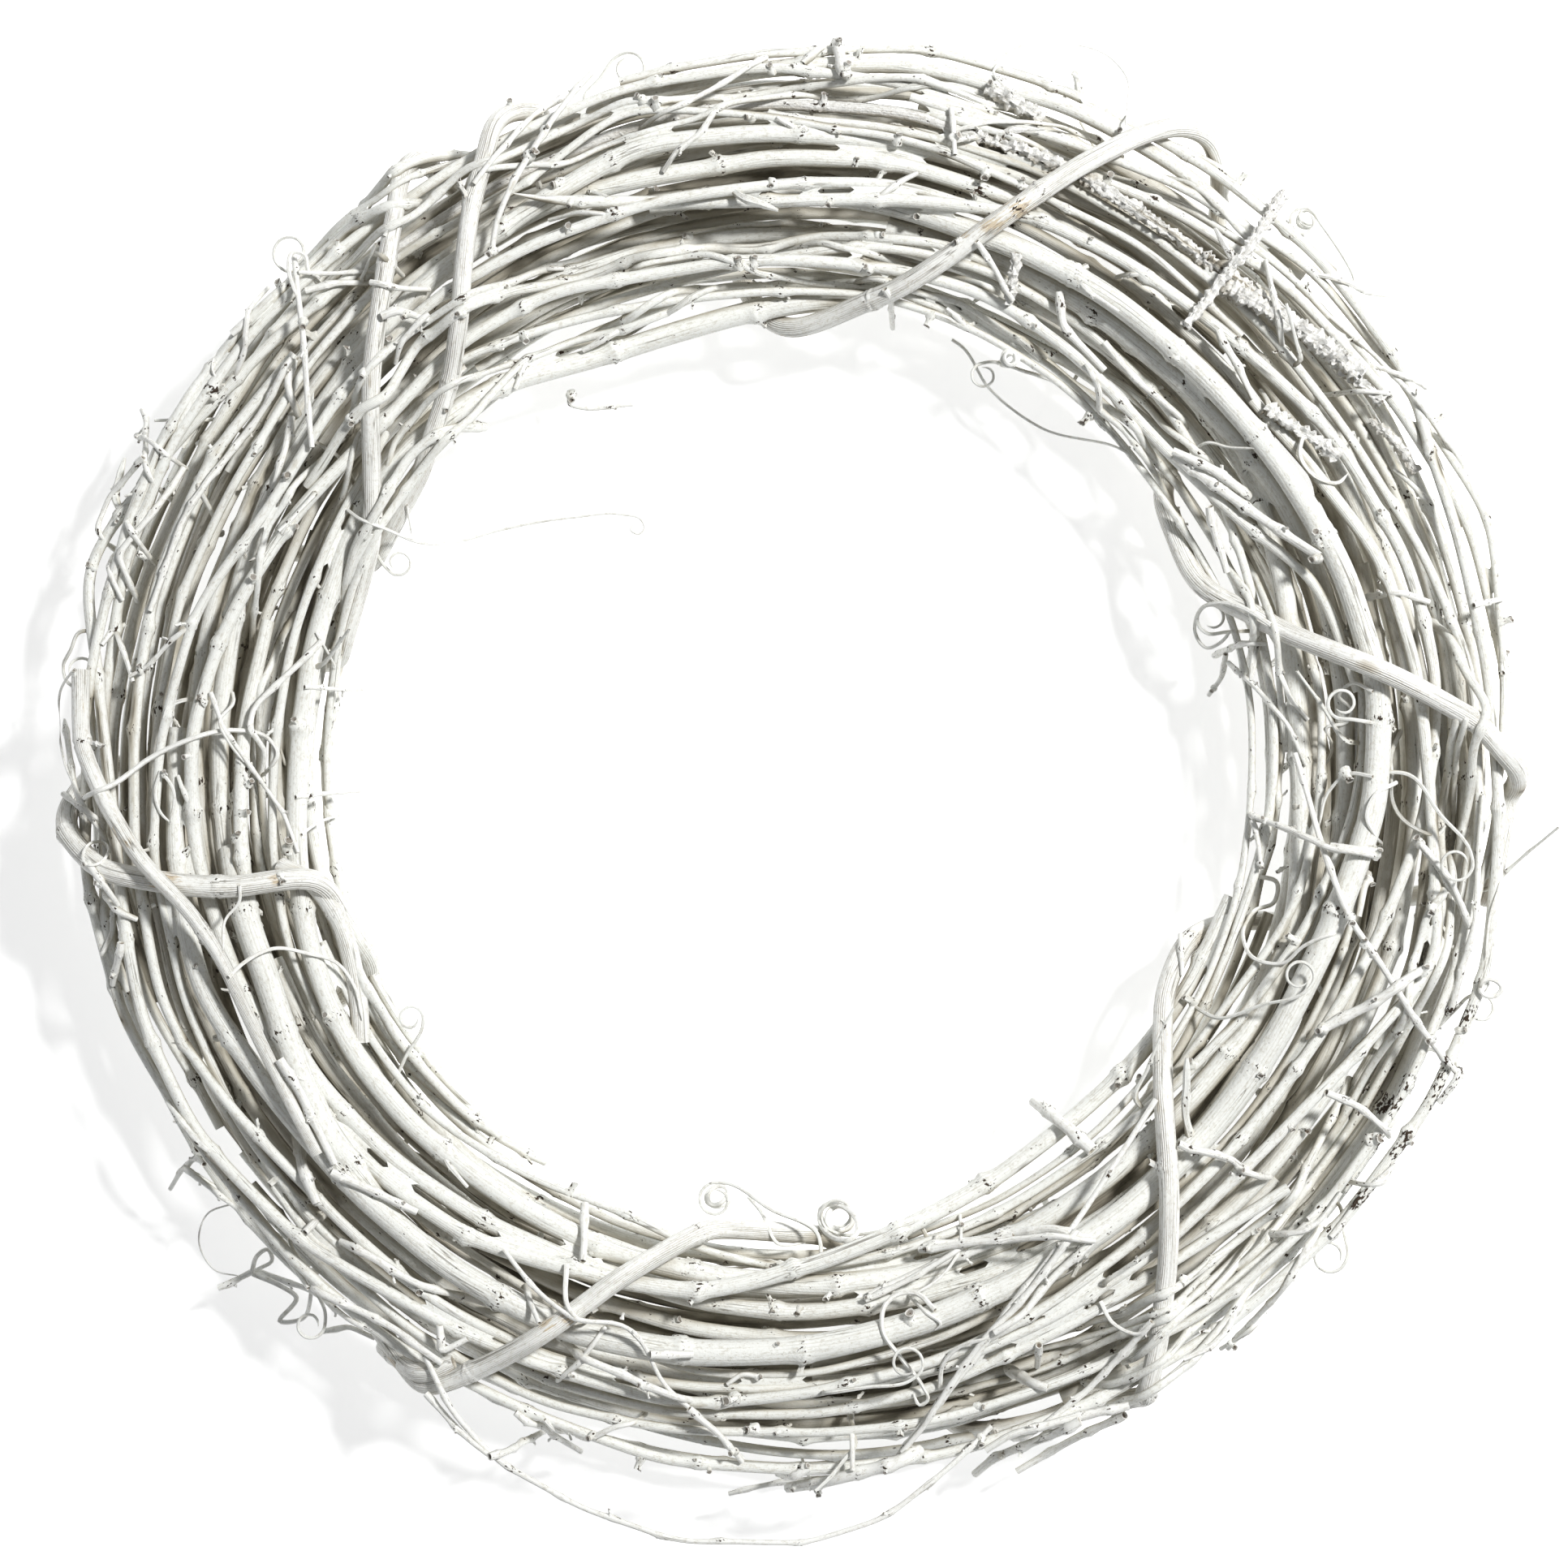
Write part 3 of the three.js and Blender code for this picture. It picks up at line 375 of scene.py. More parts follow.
# How open a place is, which sets both how much of the spray reached it and how much painted shade it gets,
# and how worn it is
SECTORS = 10
SKY_WAYS = 24
SHADE_AND_SPRAY_REACH = 70 * MM
SHADE_AND_SPRAY_STEP = 7 * MM
LEAST_LEAN = 0.2


def even_ways(count):
    """Directions spread evenly over a whole ball."""
    ways = []
    for i in range(count):
        rise = 1 - 2 * (i + 0.5) / count
        turn = i * math.pi * (3 - math.sqrt(5))
        flat = math.sqrt(1 - rise * rise)
        ways.append(Vector((flat * math.cos(turn), flat * math.sin(turn), rise)))
    return ways


sky_ways = even_ways(SKY_WAYS)


# Where some binding vines are seen to cross the face, as angle and radius in mm from the outside inwards
SEEN_VINES = {
    "binding_vine_upper_left_a": [
        (115.8, 237.8), (117.3, 230.7), (119.9, 219.1), (121.7, 210.1), (125.8, 192), (129.2, 182),
        (132.6, 174.5), (138.7, 166.8)],
    "binding_vine_upper_left_b": [
        (124.9, 235.9), (127.6, 225.3), (130.2, 215.9), (133.3, 206.1), (137.1, 195.3), (139.8, 188.1),
        (144, 177.7), (148.5, 169)],
    "binding_vine_right": [
        (0.8, 245.5), (2.7, 241.3), (4.2, 234.9), (5.7, 225.6), (7.3, 216.5), (9.2, 205.8),
        (11.1, 195.2), (13.4, 184.9), (16, 175), (18.8, 168.3)],
    "binding_vine_lower_right": [
        (298.6, 251.8), (300.6, 242.1), (303, 231.4), (304.8, 222.8), (307.3, 212), (309.8, 201.2),
        (312.5, 190.5), (315.4, 180), (318.7, 170)],
}
FACE_STARTS = 12 * MM
FACE_WHOLE = 54 * MM


def share_of_face(height):
    """From 0 below the face to 1 on it."""
    share = np.clip((height - FACE_STARTS) / (FACE_WHOLE - FACE_STARTS), 0, 1)
    return share * share * (3 - 2 * share)


def turned_on_face(name, line):
    """A binding vine turned about the ring's axis to where it crosses the face, and left alone below."""
    if name not in SEEN_VINES:
        return line
    angles, radii = np.array(SEEN_VINES[name][::-1]).T
    flat = line[:, :2] - np.array(RING_AXIS[:2])
    radius = np.hypot(flat[:, 0], flat[:, 1]) / MM
    angle = np.degrees(np.arctan2(flat[:, 1], flat[:, 0]))
    off = (np.interp(radius, radii, angles) - angle + 180) % 360 - 180
    near_face = line[:, 2] > FACE_WHOLE - 4 * MM
    known = np.flatnonzero(near_face & (radius > radii[0]) & (radius < radii[-1]))
    off = np.interp(np.arange(len(line)), known, off[known])
    turn = np.radians(off) * share_of_face(line[:, 2])
    moved = line.copy()
    moved[:, 0] = RING_AXIS.x + flat[:, 0] * np.cos(turn) - flat[:, 1] * np.sin(turn)
    moved[:, 1] = RING_AXIS.y + flat[:, 0] * np.sin(turn) + flat[:, 1] * np.cos(turn)
    return moved


def solid_bundle():
    """One tree of all the frame's solids, which rays are cast on."""
    places, faces = [], []
    for name in sorted(frame["nodes"]):
        mesh = frame["nodes"][name].data
        first = len(places)
        corners = corners_of(mesh)
        if name in SEEN_VINES:
            surface = merged_surface(frame["nodes"][name])
            stem = read_stem(surface)
            surface.free()
            nearest = np.linalg.norm(corners[:, None, :] - stem[None, :, :3], axis=2).argmin(1)
            corners += (turned_on_face(name, stem) - stem)[nearest, :3]
        places += [Vector(corner) for corner in corners]
        faces += [[first + corner for corner in face.vertices] for face in mesh.polygons]
    return BVHTree.FromPolygons(places, faces)


def openness(centre, out, half):
    """The share of the rays from a place on a stem that nothing near it stops."""
    start = centre + out * (half * 1.2 + 0.5 * MM)
    free = total = 0
    for way in sky_ways:
        lean = way.dot(out)
        if lean > LEAST_LEAN:
            total += lean
            if bundle.ray_cast(start, way, SHADE_AND_SPRAY_REACH)[0] is None:
                free += lean
    return free / total


def spray_and_shade_on(line, places, turn):
    """How open each place of a stem is, from 0 in the dark to 1: it sets how much of the spray reached it
    and the painted shade in its recesses.
    """
    at = lengths_along(line)
    count = max(3, int(at[-1] / SHADE_AND_SPRAY_STEP))
    _, normal, side = section_frames(line)
    reached = np.zeros((count, SECTORS))
    for i, station in enumerate(np.linspace(0, at[-1], count)):
        row = min(int(np.searchsorted(at, station)), len(at) - 1)
        centre = Vector(line[row, :3])
        for j in range(SECTORS):
            facing = 2 * math.pi * j / SECTORS
            out = Vector(normal[row] * math.cos(facing) + side[row] * math.sin(facing))
            reached[i, j] = openness(centre, out, line[row, 3])
    along = np.clip(places / max(at[-1], 1e-9), 0, 1) * (count - 1)
    around = (turn / (2 * math.pi) * SECTORS) % SECTORS
    i = np.minimum(along.astype(int), count - 2)
    j = around.astype(int) % SECTORS
    u, v = along - i, around - np.floor(around)
    after = (j + 1) % SECTORS
    low = reached[i, j] * (1 - v) + reached[i, after] * v
    high = reached[i + 1, j] * (1 - v) + reached[i + 1, after] * v
    return low * (1 - u) + high * u


# Places where the paint is worn down to the bark, as angle and radius on the ring, and reach in mm
WORN_SPOTS = {
    "binding_vine_top": [(67.5, 205, 7), (69.5, 199, 6), (72, 192, 3)],
    "binding_vine_left": [(190, 217, 6), (192, 180, 3)],
    "laid_vine_left": [(186, 230, 6)],
    "binding_vine_lower_left": [(248, 201, 4), (246, 205, 4), (236, 250, 4)],
    "binding_vine_upper_left_b": [(131, 205, 4)],
    "binding_vine_lower_right": [(318, 197, 5), (303, 222, 4)],
}

# Places where dirt and missed bark gather, in the same way
DIRTY_SPOTS = [(334, 248, 9), (328, 250, 8), (340, 247, 7), (323, 247, 7), (331, 238, 6), (72, 209, 5),
               (68, 206, 4), (265, 214, 3), (95.5, 173, 3), (164, 254, 4), (147, 235, 4), (86.5, 257, 3)]


def near_spots(co, spots):
    """From 0 away from all the spots to 1 in the middle of one."""
    near = np.zeros(len(co))
    for angle, radius, reach in spots:
        middle = np.array(on_ring(angle, radius * MM))
        away = np.hypot(co[:, 0] - middle[0], co[:, 1] - middle[1])
        near = np.maximum(near, np.exp(-(away / (reach * MM)) ** 2))
    return near


# A stem's surface: waves as how many go round it and their size, and how far its nodes and tips reach
UNEVEN_WAVES = ((2, 1.0), (3, 0.7), (5, 0.45))
ROWS_CROWD = 3.2
CROWD_REACH = 3.6 * MM
NODE_REACH = 2.6 * MM
TIP_REACH = 3 * MM

# Cork covers the right end of the rough cane, up to this angle on the ring
CORK_ENDS = 76
CORK_GRAIN = 520
CORK_RING = 0.00036


def crowded(along, total, nodes):
    """Where the rows of a stem lie along its length: closer together at its nodes."""
    fine = np.linspace(0, total, 600)
    crowd = np.ones_like(fine)
    for length, _ in nodes:
        crowd += ROWS_CROWD * np.exp(-((fine - length) / CROWD_REACH) ** 2)
    crowd = np.concatenate([[0], np.cumsum(crowd[1:] + crowd[:-1])])
    return np.interp(along * crowd[-1], crowd, fine)


def unevenness(places, turn, shift):
    uneven = 0
    for count, size in UNEVEN_WAVES:
        drift = 1.3 * np.sin(places / (0.021 + 0.006 * count) + shift * count)
        wave = size * np.cos(count * turn + drift + shift)
        uneven = uneven + wave * np.sin(places / (0.037 / count) + shift)
    return uneven


def rib_waves(places, turn, shift):
    """Ribs along a stem, which twist a little."""
    twist = 0.8 * np.sin(places / 0.05 + shift) + 0.3 * np.sin(places / 0.017)
    fading = 0.8 * np.cos(11 * turn - 1.7 * twist + 1) * np.cos(places / 0.03)
    return np.cos(7 * turn + twist) + fading


def cork(places, turn, half, centre, shift, crumbs):
    """Crumbly cork with rings round the stem, whole only up to an angle on the ring where it ends."""
    flat = np.stack([half * np.cos(turn), half * np.sin(turn), places + shift], axis=1)
    lumps = np.array([noise.turbulence(Vector(place) * CORK_GRAIN, 3, False) for place in flat])
    rings = 0.5 + 0.5 * np.sin(places / CORK_RING + 5 * lumps)
    angle = np.degrees(np.arctan2(centre[:, 1] - RING_AXIS.y, centre[:, 0] - RING_AXIS.x))
    crumbled = crumbs * np.clip((CORK_ENDS - np.abs(angle)) / 4, 0.12, 1)
    return crumbled * (lumps - 0.3) + crumbled * 0.32 * rings


def put_stem(name, line, sides, row_step, nodes=(), swell=0.3, rough=0.02, ribs=0.0, crumbs=0.0, tip=1.0,
             pointed=False):
    """Lays a stock stem along a line of x, y, z and half thickness, with a swelling at each node."""
    at = lengths_along(line)
    total = at[-1]
    mesh, unit = stock_for(sides, total / row_step)
    mesh = mesh.copy()
    mesh.name = name
    places = crowded(unit[:, 2], total, nodes)
    tangent, normal, side = section_frames(line)
    centre, out = blended(places, at, line[:, :3]), blended(places, at, normal)
    across, along = blended(places, at, side), blended(places, at, tangent)
    half = np.interp(places, at, line[:, 3])
    turn = np.arctan2(unit[:, 1], unit[:, 0])
    reach = np.hypot(unit[:, 0], unit[:, 1])
    shift = dice.random() * 100
    width = 1 + rough * unevenness(places, turn, shift)
    if ribs:
        width += ribs * rib_waves(places, turn, shift)
    knot = np.zeros_like(places)
    for length, facing in nodes:
        bump = np.exp(-np.abs((places - length) / NODE_REACH) ** 1.8)
        width += swell * bump * (0.6 + 0.4 * np.cos(turn - facing))
        knot = np.maximum(knot, bump)
    lumpy = np.sin(places * 3100 + shift) * np.cos(3 * turn + shift)
    lumpy += np.sin(places * 1900) * np.cos(2 * turn - shift)
    width += 0.055 * knot * lumpy
    if crumbs:
        width += cork(places, turn, half, centre, shift, crumbs)
    if pointed:
        width *= np.clip((total - places) / TIP_REACH, 0.12, 1) ** 0.6
    else:
        width *= 1 - (1 - tip) * np.clip(1 - (total - places) / TIP_REACH, 0, 1)
    ends = (unit[:, 2] < 1e-6) | (unit[:, 2] > 1 - 1e-6)
    wood, pith = ends & (reach < 0.8), ends & (reach < 0.5)
    radius = half * width * reach
    co = centre + out * (radius * np.cos(turn))[:, None] + across * (radius * np.sin(turn))[:, None]
    sink = np.where(pith, 0.55, 0.0) * half * np.where(unit[:, 2] > 0.5, -1, 1)
    co += along * sink[:, None]
    mesh.vertices.foreach_set("co", co.ravel())
    around = half * width
    straight = np.stack([around * np.cos(turn), around * np.sin(turn), places + shift], axis=1)
    put_values(mesh, "straight", straight)
    put_values(mesh, "knot", knot + 1.6 * near_spots(co, DIRTY_SPOTS))
    put_values(mesh, "cut", wood.astype(float) + pith)
    # Openness of each place: it thins the paint and paints shade into the recesses between the stems
    put_values(mesh, "spray_and_shade", spray_and_shade_on(line, places, turn))
    put_values(mesh, "worn", near_spots(co, WORN_SPOTS.get(name, ())))
    mesh.update()
    return linked(name, mesh)


# Small growth that repeats, each modelled once: a cut stub, a pointed bud, a long spur and a knuckle
LEAST_ON_BUD = 0.42
KNUCKLE_HALF = 1.4


def shaped_bud(name, rings, sides=6):
    """Rings are [height, half thickness, lean] from the root to the tip."""
    bpy.ops.mesh.primitive_cylinder_add(vertices=sides, radius=1, depth=1, end_fill_type="NGON")
    bud = bpy.context.object
    bud.name = name
    bpy.ops.object.mode_set(mode="EDIT")
    bpy.ops.mesh.select_mode(type="EDGE")
    pick(bud, lambda a, b: abs(a.z - b.z) > 1e-4)
    bpy.ops.mesh.subdivide(number_cuts=len(rings) - 2)
    bpy.ops.mesh.select_mode(type="FACE")
    pick_faces(bud, lambda face: face.normal.z > 0.9)
    bpy.ops.mesh.inset(thickness=0.35, use_even_offset=False)
    bpy.ops.mesh.select_mode(type="VERT")
    bpy.ops.object.mode_set(mode="OBJECT")
    for v in bud.data.vertices:
        share = v.co.z + 0.5
        ring = min(range(len(rings)), key=lambda i: abs(share - i / (len(rings) - 1)))
        height, half, lean = rings[ring]
        inner = ring == len(rings) - 1 and math.hypot(v.co.x, v.co.y) < 0.8
        v.co = Vector((v.co.x * half + lean, v.co.y * half, height - (0.22 if inner else 0)))
    mesh = bud.data.copy()
    bpy.data.objects.remove(bud)
    tip = rings[-1][0]
    height = corners_of(mesh)[:, 2]
    in_cut = (height > tip - 0.3) & (height < tip - 0.1) & bool(len(rings) % 2)
    put_values(mesh, "cut", 1.6 * in_cut)
    put_values(mesh, "knot", np.full(len(height), 0.8))
    return mesh


def bud_models():
    stub = [(-0.6, 1.25, 0), (0.35, 1.2, 0), (0.8, 0.82, 0.1), (1.7, 0.74, 0.22), (2.5, 0.84, 0.3)]
    bud = [(-0.5, 1.1, 0), (0.3, 1.15, 0.05), (0.9, 0.95, 0.25), (1.5, 0.3, 0.6)]
    spur = [(-0.6, 1.3, 0), (0.4, 1.2, 0), (1.0, 0.7, 0.1), (2.3, 0.6, 0.1), (3.0, 0.9, 0.15),
            (3.7, 0.66, 0.4), (4.9, 0.7, 0.7)]
    knuckle = [(-0.9, 1.3, 0), (-0.1, KNUCKLE_HALF, 0), (0.45, 1.15, 0.05), (0.8, 0.8, 0.1),
               (1.5, 0.74, 0.2), (1.95, 0.9, 0.25), (2.2, 0.82, 0.3)]
    return {
        "stub": shaped_bud("Cut_Stub", stub),
        "bud": shaped_bud("Pointed_Bud", bud),
        "spur": shaped_bud("Long_Spur", spur),
        "knuckle": shaped_bud("Knuckle", knuckle, 12),
    }


def put_bud(model, name, root, out, along, size):
    """A bud's model, a little uneven, set on its root so that it points out and leans along its stem."""
    mesh = model.copy()
    mesh.name = name
    side = out.cross(along).normalized()
    lean = side.cross(out).normalized()
    turn = Matrix((lean, side, out)).transposed()
    co = corners_of(mesh)
    x, y, z = co.T
    shift = dice.random() * 6
    lumps = np.sin(2.7 * x + shift) * np.cos(3.1 * y - shift) + np.sin(4 * z + 2 * x + shift)
    co = co * (1 + 0.09 * lumps[:, None]) * size
    put_values(mesh, "straight", co + dice.random() * 10)
    # The bud's openness, with a floor on it, sets its thin paint and its painted shade
    reached = openness(Vector(root) + Vector(out) * 2.5 * size, Vector(out), 2 * size)
    put_values(mesh, "spray_and_shade", np.full(len(co), max(reached, LEAST_ON_BUD)))
    put_values(mesh, "worn", np.zeros(len(co)))
    placed = co @ np.array(turn).T + np.array(root)
    mesh.vertices.foreach_set("co", placed.ravel())
    mesh.update()
    return linked(name, mesh)


def joined(name, parts, slot):
    """Joins the parts to one piece that rides on the wreath, with its slot's material."""
    bpy.ops.object.select_all(action="DESELECT")
    for part in parts:
        part.select_set(True)
    bpy.context.view_layer.objects.active = parts[0]
    if len(parts) > 1:
        bpy.ops.object.join()
    piece = bpy.context.view_layer.objects.active
    piece.name = name
    piece.data.name = name
    bpy.ops.object.shade_smooth_by_angle(angle=math.radians(50))
    bpy.ops.object.select_all(action="DESELECT")
    co = np.clip(corners_of(piece.data), np.array(cad_box[0]), np.array(cad_box[1]))
    piece.data.vertices.foreach_set("co", co.ravel())
    piece.data.materials.clear()
    piece.data.materials.append(materials[slot])
    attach(piece, "root")
    return piece


# Nodes along a cane, and the growth on them: the room between them, and how many of them grow something
VINE_NODES = (60 * MM, 105 * MM)
TWIG_NODES = (14 * MM, 34 * MM)
CANE_NODES = (30 * MM, 68 * MM)
SMALL_TWIG_NODES = (9 * MM, 20 * MM)
GROW_ON_VINE = 0.25
GROW_ON_CORE = 0.4
GROW_ON_CANE = 0.75
BUD_SIZES = (0.62 * MM, 1.5 * MM)
TENDRIL_HALVES = (0.75 * MM, 0.5 * MM)
TWIG_HALVES = (0.55 * MM, 1.3 * MM)


def node_places(total, spacing):
    """Nodes of a stem as [length, side], which grow by turns on its two sides."""
    places = []
    at = dice.uniform(0.3, 1.0) * spacing[0]
    facing = dice.uniform(0, 2 * math.pi)
    while at < total - 6 * MM:
        places.append((at, facing))
        facing += math.pi + dice.uniform(-0.4, 0.4)
        at += dice.uniform(*spacing)
    return places


def zigzag(line, nodes, size):
    """Turns a smooth line a little at each of its nodes, so that it runs nearly straight between them."""
    at = lengths_along(line)
    marks = [0] + [place for place, _ in nodes] + [at[-1]]
    shifts = [np.zeros(3)]
    for i in range(len(nodes)):
        way = np.array([dice.uniform(-1, 1), dice.uniform(-1, 1), dice.uniform(-0.5, 0.5)])
        shifts.append(way / np.linalg.norm(way) * size * dice.uniform(0.4, 1) * (1 if i % 2 else -1))
    shifts.append(np.zeros(3))
    shifts = np.array(shifts)
    out = line.copy()
    for k in range(3):
        out[:, k] += np.interp(at, marks, shifts[:, k])
    return out


def grow_buds(models, line, nodes, share):
    """Stubs and buds at a stem's nodes, on the sides that its nodes face."""
    at = lengths_along(line)
    tangent, normal, side = section_frames(line)
    buds = []
    for length, facing in nodes:
        if dice.random() > share:
            continue
        i = int(np.clip(np.searchsorted(at, length), 0, len(at) - 1))
        out = Vector(normal[i] * math.cos(facing) + side[i] * math.sin(facing))
        along = Vector(tangent[i])
        half = line[i, 3]
        kind = dice.choices(["stub", "bud", "spur"], [0.5, 0.3, 0.2])[0]
        size = min(max(half * dice.uniform(0.36, 0.6), BUD_SIZES[0]), BUD_SIZES[1])
        way = (out + along * dice.uniform(0.2, 0.9)).normalized()
        root = Vector(line[i, :3]) + out * half * 0.9
        buds.append(put_bud(models[kind], "bud", root, way, along, size))
    return buds


# The short rough stick is laid after the frame's other stems, so it starts lower and is lifted more
TOP_STICK = "laid_stick_rough"
ROUGH_STEMS = {"rough_cane_cut_at_right", TOP_STICK}
STICK_WIDER = 1.3
STICK_FROM = 36 * MM
STICK_MOST = 9 * MM
STICK_RISE = 1.8 * MM

# The room between the places on a fine stem's line
STEM_STEP = 2 * MM


def slot_of(name):
    record = frame["record"]["subparts"]
    return next(part["material_slot"] for part in record if part["node"] == name)


def fine_stem(name, stem):
    """The fine stem of a frame node, with its line and its nodes."""
    thick = 2 * np.median(stem[:, 3])
    vine = slot_of(name) == "binding_vine_whitewashed"
    twig = slot_of(name) == "twig_whitewashed"
    core = name.endswith("_core")
    reach = (5 if vine or twig else 10) * MM
    line = smoothed(resampled(stem, STEM_STEP), reach, STEM_STEP)
    line[:, 3] = smoothed(line[:, 3:4], 14 * MM, STEM_STEP)[:, 0]
    if name in SEEN_VINES:
        line = smoothed(turned_on_face(name, line), 4 * MM, STEM_STEP)
    if name == TOP_STICK:
        line[:, 3] *= STICK_WIDER
        line = lifted(line, STICK_FROM, STICK_MOST)
        line[:, 2] += STICK_RISE
    elif lies_over(name):
        line = lifted(line)
    spacing = VINE_NODES if vine else TWIG_NODES if twig else CANE_NODES
    kink = 0.5 if vine else 0.6 if twig else 0.9 if thick > 7 * MM else 1.5
    nodes = node_places(lengths_along(line)[-1], spacing)
    line = zigzag(line, nodes, kink * MM)
    if name in ROUGH_STEMS:
        return put_stem(name, line, 22, 0.9 * MM, nodes, 0.1, crumbs=0.85), line, nodes
    if vine:
        return put_vine(name, line, nodes), line, nodes
    sides = 8 if core else 16 if thick > 7 * MM else 12 if thick > 3 * MM else 8
    swell = 0.24 if thick > 7.5 * MM else 0.36 if thick > 5.5 * MM else 0.55
    return put_stem(name, line, sides, (3.6 if core else 2.3) * MM, nodes, swell), line, nodes


def put_vine(name, line, nodes):
    return put_stem(name, line, 32, 2.2 * MM, nodes, 0.17, 0.014, ribs=0.011)


def growth_parts(models, path):
    """A bud, tendril or twig of the frame, finer. The shortest paths are buds, the longest are tendrils."""
    if len(path) == 2:
        root, tip = Vector(path[0][:3]), Vector(path[1][:3])
        way = (tip - root).normalized()
        reach = (tip - root).length - path[0][3] * 0.7
        size = max(min(reach / 2.5, 1.6 * MM), 0.7 * MM)
        return [put_bud(models["stub"], "stub", root + way * path[0][3] * 0.7, way, way.orthogonal(), size)]
    path[0][3] = path[1][3]
    curve = rounded(path, 1.5 * MM)
    if len(path) > 8:
        curve[:, 3] = np.linspace(*TENDRIL_HALVES, len(curve))
        return [put_stem("tendril", curve, 6, 1.5 * MM, pointed=True)]
    curve[:, 3] = np.clip(curve[:, 3], *TWIG_HALVES)
    nodes = node_places(lengths_along(curve)[-1], SMALL_TWIG_NODES)
    curve = zigzag(curve, nodes, 0.8 * MM)
    return [put_stem("twig", curve, 6, 1.6 * MM, nodes, 0.5)] + grow_buds(models, curve, nodes, 0.5)


def lies_over(name):
    """The binding vines and laid twigs lie over the canes."""
    return slot_of(name) in ("binding_vine_whitewashed", "twig_whitewashed")


def build_pieces(models):
    """A finer piece for each node of the frame. The canes come first, so that the rest can lie on them."""
    stems = {}
    for name in sorted(frame["nodes"], key=lambda name: (name == TOP_STICK, lies_over(name), name)):
        surface = merged_surface(frame["nodes"][name])
        stem = read_stem(surface)
        growth = read_growth(surface, stem)
        surface.free()
        fine, line, nodes = fine_stem(name, stem)
        parts = [fine]
        core = name.endswith("_core")
        share = GROW_ON_VINE if name.startswith("binding") else GROW_ON_CORE if core else GROW_ON_CANE
        parts += grow_buds(models, line, nodes, share)
        for path in growth:
            parts += growth_parts(models, path)
        piece = joined("fine_" + name, parts, slot_of(name))
        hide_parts(name)
        if not lies_over(name) and name != TOP_STICK:
            raise_ground(line)
        elif name in SEEN_VINES:
            raise_ground(line[line[:, 2] > FACE_WHOLE])
        stems[name] = (line, nodes)
    return stems


# The height of what lies on the floor, on a fine square net, so that more twigs can be laid over it
NET = 0.8 * MM
NET_HALF = 0.28
PLAN_STEP = 1.2 * MM
LEAST_HEIGHT = 22 * MM
SETTLING_PASSES = 260
ground = np.zeros((int(2 * NET_HALF / NET) + 1,) * 2)


def raise_ground(line):
    """Adds a stem to what lies on the floor."""
    dense = resampled(line, NET)
    reach = int(math.ceil(dense[:, 3].max() / NET))
    steps = np.arange(-reach, reach + 1)
    across, up = np.meshgrid(steps, steps, indexing="ij")
    cell = np.round((dense[:, :2] + NET_HALF) / NET).astype(int)
    i = cell[:, 0, None] + across.ravel()
    j = cell[:, 1, None] + up.ravel()
    dx = i * NET - NET_HALF - dense[:, 0, None]
    dy = j * NET - NET_HALF - dense[:, 1, None]
    room = dense[:, 3, None] ** 2 - dx ** 2 - dy ** 2
    last = len(ground) - 1
    inside = (room > 0) & (i >= 0) & (j >= 0) & (i <= last) & (j <= last)
    height = dense[:, 2, None] + np.sqrt(np.maximum(room, 0))
    np.maximum.at(ground, (i[inside], j[inside]), height[inside])


def ground_under(plan, half):
    """The highest place under a stem of this half thickness, at each of its points."""
    last = len(ground) - 1
    found = np.zeros(len(plan))
    for dx in (-0.7, 0, 0.7):
        for dy in (-0.7, 0, 0.7):
            i = np.clip(np.round((plan[:, 0] + dx * half + NET_HALF) / NET).astype(int), 0, last)
            j = np.clip(np.round((plan[:, 1] + dy * half + NET_HALF) / NET).astype(int), 0, last)
            found = np.maximum(found, ground[i, j])
    return found


def lifted(line, above=FACE_WHOLE, most=4 * MM):
    """On the face, a stem is raised to where it just rests on what lies under it."""
    rest = ground_under(line[:, :2], line[:, 3].mean()) + line[:, 3] * 0.9
    on_face = np.clip((line[:, 2] - above) / (6 * MM), 0, 1)
    rise = np.clip(rest - line[:, 2], 0, most) * on_face
    out = line.copy()
    out[:, 2] += smoothed(rise[:, None], 3 * MM, 2 * MM)[:, 0]
    return out


def laid_over(plan, half, least, passes):
    """Heights of a springy stem laid over the bundle: it rests on high places and spans the low ones."""
    low = np.maximum(ground_under(plan, half), least) + half * 0.9
    height = low.copy()
    for _ in range(passes):
        height[1:-1] = np.maximum(low[1:-1], (height[:-2] + height[2:]) / 2)
    return height


def plan_line(points, half, least=LEAST_HEIGHT, smooth=True, passes=SETTLING_PASSES):
    """A line over the bundle through places in mm about the ring's axis."""
    places = np.array(points, float) * MM + np.array(RING_AXIS[:2])
    if smooth:
        plan = rounded(places, PLAN_STEP)
    else:
        plan = smoothed(resampled(places, PLAN_STEP), 1.6 * MM, PLAN_STEP)
    height = laid_over(plan, half, least, passes)
    line = np.column_stack([plan, height, np.full(len(plan), half)])
    line[:, 2] = smoothed(line[:, 2:3], 2.5 * MM, PLAN_STEP)[:, 0]
    return line


